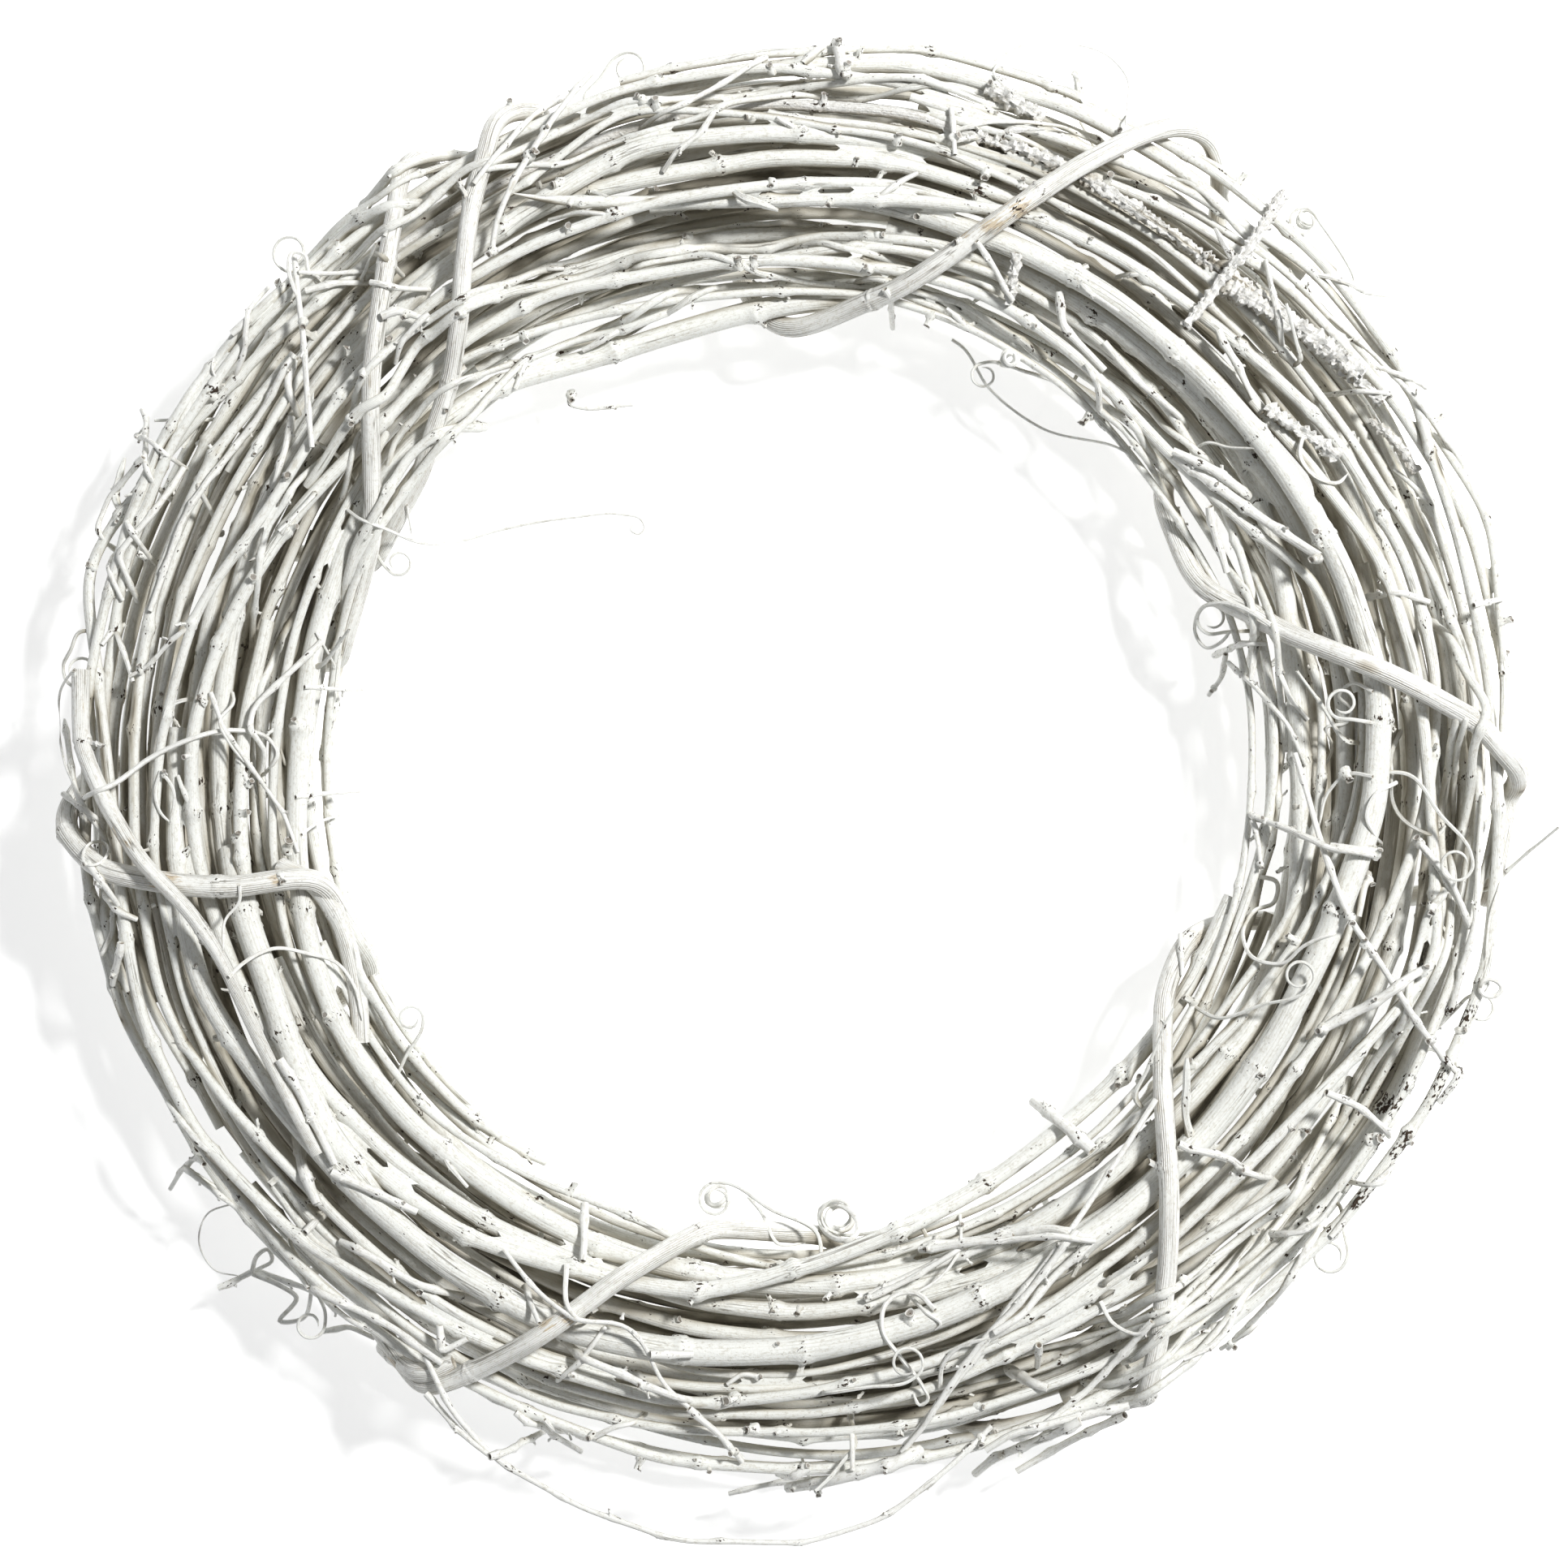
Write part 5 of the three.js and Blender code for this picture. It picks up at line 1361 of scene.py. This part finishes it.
# Knuckles: how far round a place the highest one is looked for, and the lowest place that takes one
PERCH_REACH = 3 * MM
LOWEST_KNUCKLE = 8 * MM
KNUCKLE_ALONG = Vector((0.3, 0.2, 1)).normalized()


def perch(across, down):
    """The highest place near a place in the view, where near ones count for more."""
    x = RING_AXIS.x + (across - VIEW_MIDDLE[0]) * VIEW_STEP * MM
    y = RING_AXIS.y + (VIEW_MIDDLE[1] - down) * VIEW_STEP * MM
    reach = int(PERCH_REACH / NET)
    i, j = int(round((x + NET_HALF) / NET)), int(round((y + NET_HALF) / NET))
    near = [(a, b) for a in range(i - reach, i + reach + 1) for b in range(j - reach, j + reach + 1)]
    best = max(near, key=lambda cell: ground[cell] - 0.5 * NET * math.hypot(cell[0] - i, cell[1] - j))
    return best[0] * NET - NET_HALF, best[1] * NET - NET_HALF, ground[best]


def set_knuckles(models, laid):
    for across, down, half, heading in SEEN_KNUCKLES:
        root = np.array(perch(across, down))
        if root[2] < LOWEST_KNUCKLE:
            continue
        turn = math.radians(heading)
        out = Vector((math.cos(turn), math.sin(turn), 0.9)).normalized()
        root[2] -= 0.5 * half * MM
        part = put_bud(models["knuckle"], "knuckle", root, out, KNUCKLE_ALONG, half * MM / KNUCKLE_HALF)
        laid["knuckles_" + quarter_of(root[None, :])].append(part)


COIL_POINTS = 14


def coil(across, up, radius, turns):
    """A loose coil whose turns don't quite lie on each other, as places in mm."""
    first = dice.uniform(0, 6)
    side = dice.choice([-1, 1])
    places = []
    for k in range(int(turns * COIL_POINTS)):
        turn = first + side * k * 2 * math.pi / COIL_POINTS
        reach = radius * (1 - 0.13 * k / COIL_POINTS + 0.08 * math.sin(2.3 * turn))
        drift = 0.1 * radius * math.sin(0.7 * k / COIL_POINTS * 2 * math.pi)
        places.append((across + reach * math.cos(turn) + drift, up + reach * 0.9 * math.sin(turn) - drift))
    return places


def lay_coils(laid):
    for across, up, radius, turns, thick in COILS:
        line = plan_line(coil(across, up, radius, turns), thick * MM / 2, 24 * MM, passes=120)
        line[:, 2] += np.linspace(0, turns * thick * MM, len(line))
        laid["coils_" + quarter_of(line)].append(put_stem("coil", line, 7, 0.9 * MM, pointed=True))


def places_by_angle(places):
    return [(on_ring(*place) - RING_AXIS)[:2] for place in places]


def lay_seen(models, laid):
    by_angle = [(kind, thick, places_by_angle(places)) for kind, thick, places in SEEN_BY_ANGLE]
    for kind, thick, points in SEEN + by_angle:
        line, nodes = seen_stem(kind, thick, points)
        quarter = laid["seen_twigs_" + quarter_of(line)]
        if kind == "tendril":
            quarter.append(put_stem("tendril", line, 6, 1.2 * MM, pointed=True))
        else:
            quarter.append(put_stem("twig", line, 8, 1.5 * MM, nodes, 0.5))
            quarter += grow_buds(models, line, nodes, 0.6)
        raise_ground(line)


def lay_seen_rough(laid):
    for thick, places in SEEN_ROUGH:
        line = plan_line(places_by_angle(places), thick * MM / 2)
        laid["rough_sticks"].append(put_stem("rough", line, 20, 0.9 * MM, crumbs=0.8))
        raise_ground(line)


# Thin canes that lie in the grooves of the face: radii and heights that they can have, and how they turn
GROOVE_TURN = math.radians(3)
GROOVE_RADII = np.arange(164, 247) * MM
GROOVE_LOWEST = 38 * MM
GROOVE_SIDESTEP = 4
GROOVE_HALVES = (1.05, 1.8)
GROOVE_NODES = (18 * MM, 42 * MM)


def groove(first, span, radii):
    """The lowest way along the face from an angle over a span, without sharp turns, as places in plan."""
    angles = np.radians(first) + np.arange(0, math.radians(span), GROOVE_TURN)
    cost = np.zeros((len(angles), len(radii)))
    wave = [dice.uniform(0, 6) for _ in range(3)]
    for i, angle in enumerate(angles):
        across, up = radii * math.cos(angle), radii * math.sin(angle)
        plan = np.column_stack([RING_AXIS.x + across, RING_AXIS.y + up])
        height = np.maximum(ground_under(plan, 1.5 * MM), GROOVE_LOWEST)
        fancy = 2.2 * np.sin(radii / (7 * MM) + wave[0] + 2 * math.sin(angle * 3 + wave[1]))
        cost[i] = height / MM + fancy
    best = cost[0].copy()
    came = np.zeros(cost.shape, int)
    number = np.arange(len(radii))
    for i in range(1, len(angles)):
        options = []
        for turn in range(-GROOVE_SIDESTEP, GROOVE_SIDESTEP + 1):
            before = np.clip(number - turn, 0, len(radii) - 1)
            options.append(best[before] + 0.4 * turn * turn)
        taken = np.argmin(options, axis=0) - GROOVE_SIDESTEP
        came[i] = np.clip(number - taken, 0, len(radii) - 1)
        best = np.min(options, axis=0) + cost[i]
    at = int(np.argmin(best))
    ring = [at]
    for i in range(len(angles) - 1, 0, -1):
        at = came[i][at]
        ring.append(at)
    radius = radii[ring[::-1]]
    return np.column_stack([radius * np.cos(angles), radius * np.sin(angles)]) / MM


def lay_groove_canes(models, count, laid):
    stems = []
    for _ in range(count):
        points = groove(dice.uniform(0, 360), dice.uniform(24, 84), GROOVE_RADII)
        half = dice.uniform(*GROOVE_HALVES) * MM
        line = plan_line(points, half)
        line[:, 2] -= half * dice.uniform(0.2, 0.8)
        line[:, 2] -= 2.2 * half * near_ends(line, 8 * MM)
        nodes = node_places(lengths_along(line)[-1], GROOVE_NODES)
        line = zigzag(line, nodes, 1.1 * MM)
        quarter = laid["thin_canes_" + quarter_of(line)]
        quarter.append(put_stem("cane", line, 9, 2.2 * MM, nodes, 0.5))
        quarter += grow_buds(models, line, nodes, 0.7)
        raise_ground(line)
        stems.append((line, nodes))
    return stems


# Canes low in the bundle, which fill the gaps between those above them, in mm and degrees
LOW_HEIGHTS = (17, 36)
LOW_SPANS = (70, 130)
LOW_ANGLE_STEP = 6
LOW_NODES = (30 * MM, 60 * MM)
BUNDLE_WIDTH = 43
BUNDLE_DEPTH = 27


def lay_low_canes(count, laid):
    for k in range(count):
        first = 360 / count * k + dice.uniform(-8, 8)
        span = dice.uniform(*LOW_SPANS)
        height = dice.uniform(*LOW_HEIGHTS)
        low = (RING_HEIGHT / MM - height) / BUNDLE_DEPTH
        across = dice.choice([-1, 1]) * dice.uniform(0.35, 0.9) * BUNDLE_WIDTH * math.sqrt(1 - low * low)
        sway, turn, half = dice.uniform(2, 5), dice.uniform(0, 6), dice.uniform(1.6, 3) * MM
        places = []
        for angle in np.arange(first, first + span, LOW_ANGLE_STEP):
            wave = math.sin(3 * math.radians(angle) + turn)
            radius = RING_RADIUS / MM + across + sway * wave
            places.append([*on_ring(angle, radius * MM, (height + 2 * wave) * MM), half])
        line = rounded(places, 2.5 * MM)
        nodes = node_places(lengths_along(line)[-1], LOW_NODES)
        line = zigzag(line, nodes, 1.0 * MM)
        laid["low_canes_" + quarter_of(line)].append(put_stem("cane", line, 9, 3.2 * MM, nodes, 0.3))


# Side twigs that grow from the nodes of the canes that show, clear of the vines and of the box's edge
SIDE_REACHES = (6, 13)
SIDE_HALVES = (0.8, 1.2)
SIDE_NODE_STEP = 9 * MM
ROOM_AT_VINES = 9 * MM
ROOM_AT_BOX = 1.5 * MM
SIDE_DROP = 10 * MM
SIDE_LOWEST = 8 * MM
SIDE_PASSES = 200


def seen_from_above(line, nodes):
    """The rows of a stem's nodes over which nothing else lies."""
    at = lengths_along(line)
    places = []
    for length, _ in nodes:
        i = min(int(np.searchsorted(at, length)), len(line) - 1)
        top = line[i, 2] + line[i, 3]
        if ground_under(line[i:i + 1, :2], 0.3 * MM)[0] < top + 1.0 * MM:
            places.append(i)
    return places


def heading_at(line, i):
    a, b = line[max(i - 1, 0)], line[min(i + 1, len(line) - 1)]
    return math.atan2(b[1] - a[1], b[0] - a[0])


def inside_box(plan):
    low = np.array(cad_box[0][:2]) + ROOM_AT_BOX
    high = np.array(cad_box[1][:2]) - ROOM_AT_BOX
    return bool(np.all(plan > low) and np.all(plan < high))


def side_twig(line, i):
    """A twig that leaves a cane at a node and turns a little at each node of its own."""
    heading = heading_at(line, i) + dice.choice([0, math.pi])
    heading += dice.choice([-1, 1]) * dice.uniform(0.2, 0.7)
    points = [line[i, :2]]
    for _ in range(dice.choice([1, 1, 2, 2, 3])):
        reach = dice.uniform(*SIDE_REACHES) * MM
        points.append(points[-1] + reach * np.array([math.cos(heading), math.sin(heading)]))
        heading += dice.choice([-1, 1]) * dice.uniform(0.08, 0.4)
    return np.array(points)


def grow_sides(models, stems, vines, tries, laid):
    roots = [(line, i) for line, nodes in stems for i in seen_from_above(line, nodes)]
    over = np.concatenate([line[:, :2] for line in vines])
    for _ in range(tries):
        line, i = roots[dice.randrange(len(roots))]
        points = side_twig(line, i)
        away = np.linalg.norm(points[:, None, :] - over[None, :, :], axis=2).min()
        if not inside_box(points) or away < ROOM_AT_VINES:
            continue
        half = dice.uniform(*SIDE_HALVES) * MM
        least = max(line[i, 2] - SIDE_DROP, SIDE_LOWEST)
        new = plan_line((points - np.array(RING_AXIS[:2])) / MM, half, least, False, SIDE_PASSES)
        sunk = np.exp(-lengths_along(new) / (4 * MM))
        new[:, 2] = new[:, 2] * (1 - sunk) + line[i, 2] * sunk
        new[:, 3] = np.linspace(half, half * 0.8, len(new))
        lengths = lengths_along(resampled(points, SIDE_NODE_STEP))[1:-1]
        nodes = [(length, dice.uniform(0, 6)) for length in lengths]
        quarter = laid["side_twigs_" + quarter_of(new)]
        quarter.append(put_stem("twig", new, 7, 1.5 * MM, nodes, 0.5))
        quarter += grow_buds(models, new, nodes, 0.6)
        raise_ground(new)


# Materials
def new_group(name, inputs, outputs):
    group = bpy.data.node_groups.new(name, "ShaderNodeTree")
    for label, kind, value in inputs:
        socket = group.interface.new_socket(name=label, in_out="INPUT", socket_type=kind)
        socket.default_value = value
    for label, kind in outputs:
        group.interface.new_socket(name=label, in_out="OUTPUT", socket_type=kind)
    tree = group.nodes
    return group, tree.new("NodeGroupInput"), tree.new("NodeGroupOutput")


def place_node(tree, kind, **settings):
    node = tree.nodes.new(kind)
    for key, value in settings.items():
        if key in node.inputs:
            node.inputs[key].default_value = value
        else:
            setattr(node, key, value)
    return node


def stem_value(tree, label):
    """A value that put_stem, put_bud or put_web gave to the corners of the mesh."""
    return place_node(tree, "ShaderNodeAttribute", attribute_name=label, attribute_type="GEOMETRY")


def maths(tree, operation, first, second=None, clamp=False):
    node = tree.nodes.new("ShaderNodeMath")
    node.operation = operation
    node.use_clamp = clamp
    for i, value in enumerate((first, second)):
        if value is None:
            continue
        if isinstance(value, (int, float)):
            node.inputs[i].default_value = value
        else:
            tree.links.new(value, node.inputs[i])
    return node.outputs[0]


def mixed(tree, factor, first, second):
    """A mix of two colours. Sockets 0, 6 and 7 are the share and the colours, and output 2 is their mix."""
    node = tree.nodes.new("ShaderNodeMix")
    node.data_type = "RGBA"
    for index, value in zip((0, 6, 7), (factor, first, second)):
        if isinstance(value, (int, float, tuple)):
            node.inputs[index].default_value = value
        else:
            tree.links.new(value, node.inputs[index])
    return node.outputs[2]


def ranged(tree, value, low, high, to_low=0.0, to_high=1.0):
    node = tree.nodes.new("ShaderNodeMapRange")
    tree.links.new(value, node.inputs["Value"])
    labels = ("From Min", "From Max", "To Min", "To Max")
    for label, number in zip(labels, (low, high, to_low, to_high)):
        node.inputs[label].default_value = number
    return node.outputs["Result"]


def straight_noise(tree, scale, size, detail=2.0, rough=0.5):
    """Noise on a stem's straightened coordinates. The scale's third number stretches it along the stem."""
    where = stem_value(tree, "straight")
    stretch = tree.nodes.new("ShaderNodeMapping")
    stretch.inputs["Scale"].default_value = scale
    tree.links.new(where.outputs["Vector"], stretch.inputs["Vector"])
    grains = place_node(tree, "ShaderNodeTexNoise", Scale=size, Detail=detail, Roughness=rough)
    tree.links.new(stretch.outputs["Vector"], grains.inputs["Vector"])
    return grains.outputs["Fac"]


def grain_group():
    """Fine ribs along a stem, which come and go round it, with the sandy grit of the paint over them. The
    Lines output marks the rib grooves, which the material darkens as painted shade.
    """
    group, start, end = new_group(
        "Lengthwise Grain",
        [("Rib Height", "NodeSocketFloat", 1.0), ("Grit Height", "NodeSocketFloat", 0.4),
         ("Rib Count", "NodeSocketFloat", 20.0)],
        [("Height", "NodeSocketFloat"), ("Lines", "NodeSocketFloat")])
    where = stem_value(group, "straight")
    split = group.nodes.new("ShaderNodeSeparateXYZ")
    group.links.new(where.outputs["Vector"], split.inputs["Vector"])
    turn = maths(group, "ARCTAN2", split.outputs["Y"], split.outputs["X"])
    sway = straight_noise(group, (1, 1, 0.12), 160, 1.0)
    phase = maths(group, "ADD", maths(group, "MULTIPLY", turn, start.outputs["Rib Count"]),
                  maths(group, "MULTIPLY", sway, 14.0))
    wave = maths(group, "SINE", phase)
    fading = ranged(group, straight_noise(group, (1, 1, 0.12), 330, 2.0), 0.38, 0.62)
    ribs = straight_noise(group, (1, 1, 0.03), 620, 2.0)
    grit = straight_noise(group, (1, 1, 0.6), 1300, 3.0, 0.8)
    both = maths(group, "ADD", maths(group, "MULTIPLY", ribs, 1.1),
                 maths(group, "MULTIPLY", maths(group, "MULTIPLY", wave, fading), 0.22))
    raised = maths(group, "MULTIPLY", both, start.outputs["Rib Height"])
    sandy = maths(group, "MULTIPLY", grit, start.outputs["Grit Height"])
    group.links.new(maths(group, "ADD", raised, sandy), end.inputs["Height"])
    group.links.new(maths(group, "MULTIPLY", ranged(group, wave, -0.2, -0.9), fading), end.inputs["Lines"])
    return group


def paint_and_shade_group():
    """Off-white paint, thinner and warmer where the spray hardly reached, and unpainted bark in the dark.
    This is also painted shade: the less open a place is, the darker and browner it gets, down to nearly
    black in the deepest gaps between the stems.
    """
    group, start, end = new_group(
        "Sprayed Paint",
        [("Paint", "NodeSocketColor", (0.82, 0.81, 0.765, 1)),
         ("Thin Paint", "NodeSocketColor", (0.5, 0.45, 0.36, 1)),
         ("Bark", "NodeSocketColor", (0.075, 0.064, 0.045, 1)), ("Cover", "NodeSocketFloat", 0.0)],
        [("Color", "NodeSocketColor"), ("Thin", "NodeSocketFloat")])
    patches = straight_noise(group, (1, 1, 0.22), 150, 3.0, 0.6)
    spray_and_shade = stem_value(group, "spray_and_shade")
    spread = maths(group, "MULTIPLY", maths(group, "SUBTRACT", patches, 0.5), 0.55)
    spray_and_shade_cover = maths(group, "ADD", maths(group, "ADD", spray_and_shade.outputs["Fac"], spread), start.outputs["Cover"])
    # Painted shade: less open places turn to the warm thin paint and then to the near-black bark colour
    thin = ranged(group, spray_and_shade_cover, 0.55, 0.06)
    dark_bark_and_shade = ranged(group, spray_and_shade_cover, 0.13, -0.08)
    flecks = ranged(group, straight_noise(group, (1, 1, 0.5), 900, 3.0, 0.8), 0.5, 0.34, 0, 0.5)
    uneven = mixed(group, flecks, start.outputs["Paint"], start.outputs["Thin Paint"])
    painted = mixed(group, thin, uneven, start.outputs["Thin Paint"])
    group.links.new(mixed(group, dark_bark_and_shade, painted, start.outputs["Bark"]), end.inputs["Color"])
    group.links.new(thin, end.inputs["Thin"])
    return group


def wear_group():
    """Worn places: tan wood, mottled with the brown of the bark."""
    group, start, end = new_group(
        "Worn Places",
        [("Wood", "NodeSocketColor", (0.6, 0.49, 0.33, 1)),
         ("Bark", "NodeSocketColor", (0.3, 0.22, 0.14, 1))],
        [("Color", "NodeSocketColor"), ("Mask", "NodeSocketFloat")])
    worn = stem_value(group, "worn")
    streaks = straight_noise(group, (1, 1, 0.14), 900, 4.0, 0.7)
    mottle = straight_noise(group, (1, 1, 0.35), 1300, 3.0, 0.65)
    spread = maths(group, "MULTIPLY", maths(group, "SUBTRACT", streaks, 0.55), 3.6)
    amount = maths(group, "ADD", worn.outputs["Fac"], spread)
    group.links.new(ranged(group, amount, 0.5, 0.85), end.inputs["Mask"])
    brown = ranged(group, mottle, 0.5, 0.62)
    group.links.new(mixed(group, brown, start.outputs["Wood"], start.outputs["Bark"]), end.inputs["Color"])
    return group


def specks_group():
    """Small places that the paint missed, most of them at the nodes, with the dark bark showing."""
    group, start, end = new_group(
        "Missed Specks", [("Amount", "NodeSocketFloat", 0.5)], [("Mask", "NodeSocketFloat")])
    knot = stem_value(group, "knot")
    spots = straight_noise(group, (1, 1, 0.55), 900, 2.0, 0.6)
    areas = straight_noise(group, (1, 1, 0.8), 110, 1.0)
    near = maths(group, "MULTIPLY", knot.outputs["Fac"], 0.15)
    level = maths(group, "ADD", maths(group, "ADD", spots, near), maths(group, "MULTIPLY", areas, 0.28))
    more = maths(group, "MULTIPLY", start.outputs["Amount"], 0.16)
    wanted = maths(group, "SUBTRACT", level, maths(group, "SUBTRACT", 1.0, more))
    group.links.new(maths(group, "MULTIPLY", wanted, 16.0, clamp=True), end.inputs["Mask"])
    return group


def fissure_group():
    """Long narrow cracks along a stem, in patches."""
    group, start, end = new_group(
        "Long Fissures", [("Amount", "NodeSocketFloat", 0.5)], [("Mask", "NodeSocketFloat")])
    waves = straight_noise(group, (1, 1, 0.03), 480, 1.0)
    patches = straight_noise(group, (1, 1, 0.25), 130, 1.0)
    away = maths(group, "ABSOLUTE", maths(group, "SUBTRACT", waves, 0.5))
    line = maths(group, "SUBTRACT", 1.0, maths(group, "MULTIPLY", away, 45.0), clamp=True)
    level = maths(group, "ADD", patches, maths(group, "MULTIPLY", start.outputs["Amount"], 0.2))
    group.links.new(maths(group, "MULTIPLY", line, ranged(group, level, 0.6, 0.68)), end.inputs["Mask"])
    return group


CRACK_COLOUR = (0.13, 0.115, 0.09, 1)
SPECK_COLOUR = (0.045, 0.03, 0.02, 1)
CUT_COLOUR = (0.12, 0.085, 0.055, 1)
RIB_SHADE = (0.8, 0.78, 0.74)
RELIEF_DEPTH = 0.0006
SHINE = 0.35


def stem_material(name, layers, paint, thin, spray_and_shade_cover, ribs, count, grit, specks, cracks, rough=0.82,
                  bump=0.5):
    material = bpy.data.materials.new(name)
    material.use_nodes = True
    tree = material.node_tree
    shader = tree.nodes["Principled BSDF"]
    grain = place_node(tree, "ShaderNodeGroup", node_tree=layers["grain"])
    grain.inputs["Rib Height"].default_value = ribs
    grain.inputs["Grit Height"].default_value = grit
    grain.inputs["Rib Count"].default_value = count
    coat = place_node(tree, "ShaderNodeGroup", node_tree=layers["paint"])
    coat.inputs["Paint"].default_value = (*paint, 1)
    # The thin paint colour also serves as the painted shade of the recesses
    coat.inputs["Thin Paint"].default_value = (*thin, 1)
    coat.inputs["Cover"].default_value = spray_and_shade_cover
    missed = place_node(tree, "ShaderNodeGroup", node_tree=layers["specks"])
    missed.inputs["Amount"].default_value = specks
    cut = stem_value(tree, "cut")
    # Painted shade: the rib grooves are darkened with a darker copy of the thin paint
    shade = (*(part * share for part, share in zip(thin, RIB_SHADE)), 1)
    lines = maths(tree, "MULTIPLY", grain.outputs["Lines"], 0.5 * ribs)
    ribbed = mixed(tree, lines, coat.outputs["Color"], shade)
    wear = place_node(tree, "ShaderNodeGroup", node_tree=layers["wear"])
    rubbed = mixed(tree, maths(tree, "MULTIPLY", wear.outputs["Mask"], 0.85), ribbed, wear.outputs["Color"])
    fissures = place_node(tree, "ShaderNodeGroup", node_tree=layers["fissures"])
    fissures.inputs["Amount"].default_value = cracks
    cracked = mixed(tree, maths(tree, "MULTIPLY", fissures.outputs["Mask"], 0.75), rubbed, CRACK_COLOUR)
    spotted = mixed(tree, missed.outputs["Mask"], cracked, SPECK_COLOUR)
    bared = maths(tree, "MULTIPLY", cut.outputs["Fac"], 0.45, clamp=True)
    tree.links.new(mixed(tree, bared, spotted, CUT_COLOUR), shader.inputs["Base Color"])
    dull = ranged(tree, coat.outputs["Thin"], 0, 1, rough, rough - 0.14)
    tree.links.new(dull, shader.inputs["Roughness"])
    relief = place_node(tree, "ShaderNodeBump", Strength=bump, Distance=RELIEF_DEPTH)
    tree.links.new(grain.outputs["Height"], relief.inputs["Height"])
    tree.links.new(relief.outputs["Normal"], shader.inputs["Normal"])
    shader.inputs["Specular IOR Level"].default_value = SHINE
    return material


def make_materials():
    makers = {"grain": grain_group, "paint": paint_and_shade_group, "specks": specks_group, "wear": wear_group,
              "fissures": fissure_group}
    layers = {label: make() for label, make in makers.items()}
    # Each stem has its paint colour, then its thin paint colour, which also serves as painted shade in the
    # recesses
    return {
        "cane_whitewashed": stem_material(
            "Whitewashed_Cane", layers, (0.85, 0.86, 0.83), (0.49, 0.455, 0.37),
            spray_and_shade_cover=0.0, ribs=0.55, count=20, grit=1.0, specks=0.85, cracks=0.3),
        "binding_vine_whitewashed": stem_material(
            "Whitewashed_Binding_Vine", layers, (0.88, 0.885, 0.86), (0.52, 0.48, 0.4),
            spray_and_shade_cover=0.0, ribs=1.2, count=30, grit=0.6, specks=0.6, cracks=0.9, bump=0.7),
        "twig_whitewashed": stem_material(
            "Whitewashed_Twig", layers, (0.88, 0.885, 0.86), (0.49, 0.46, 0.38),
            spray_and_shade_cover=0.05, ribs=0.4, count=9, grit=0.6, specks=0.75, cracks=0.1),
        "rough_bark_whitewashed": stem_material(
            "Crumbly_Painted_Bark", layers, (0.89, 0.89, 0.87), (0.48, 0.44, 0.36),
            spray_and_shade_cover=0.0, ribs=0.5, count=14, grit=1.6, specks=1.0, cracks=0.3, rough=0.92, bump=0.8),
    }


# The floor, which glows a little so that it stays as white as in the view
FLOOR_WIDTH = 40
FLOOR_SHADES = ((0.935, 0.935, 0.935, 1), (0.92, 0.922, 0.925, 1))
FLOOR_GLOW = 0.58


def add_floor():
    bpy.ops.mesh.primitive_plane_add(size=FLOOR_WIDTH, location=(0, 0, 0))
    floor = bpy.context.object
    floor.name = "White_Table"
    material = bpy.data.materials.new("White_Table_Top")
    material.use_nodes = True
    tree = material.node_tree
    shader = tree.nodes["Principled BSDF"]
    where = tree.nodes.new("ShaderNodeTexCoord")
    clouds = place_node(tree, "ShaderNodeTexNoise", Scale=3.0, Detail=2.0)
    tree.links.new(where.outputs["Object"], clouds.inputs["Vector"])
    tree.links.new(mixed(tree, clouds.outputs["Fac"], *FLOOR_SHADES), shader.inputs["Base Color"])
    shader.inputs["Emission Color"].default_value = (1, 1, 1, 1)
    shader.inputs["Emission Strength"].default_value = FLOOR_GLOW
    shader.inputs["Roughness"].default_value = 0.9
    material.cycles.emission_sampling = "NONE"
    floor.data.materials.append(material)


# What the laid pieces are made of, by how their names start. The rest are twigs.
LAID_SLOTS = {
    "rough": "rough_bark_whitewashed",
    "thin_canes": "cane_whitewashed",
    "low_canes": "cane_whitewashed",
    "paint_webs": "cane_whitewashed",
    "thick_cane": "cane_whitewashed",
    "vine": "binding_vine_whitewashed",
    "knuckles": "cane_whitewashed",
}
GROOVE_CANES = 34
LOW_CANES = 36
SIDE_TRIES = 60


def join_laid(laid):
    for name in sorted(laid):
        slots = (slot for start, slot in LAID_SLOTS.items() if name.startswith(start))
        joined(name, laid[name], next(slots, "twig_whitewashed"))


add_camera()
add_surroundings()
add_floor()
materials = make_materials()
models = bud_models()
bundle = solid_bundle()
stems = build_pieces(models)
shown = [stem for name, stem in stems.items() if not name.endswith("_core")]
laid = defaultdict(list)
shown += lay_groove_canes(models, GROOVE_CANES, laid)
lay_seen_canes(models, laid)
vines = [line for name, (line, _) in stems.items() if lies_over(name)]
for vine in vines:
    raise_ground(vine)
lay_seen_rough(laid)
lay_seen(models, laid)
lay_coils(laid)
lay_low_canes(LOW_CANES, laid)
span_webs([line for line, _ in shown], laid)
grow_sides(models, shown, vines, SIDE_TRIES, laid)
set_knuckles(models, laid)
join_laid(laid)
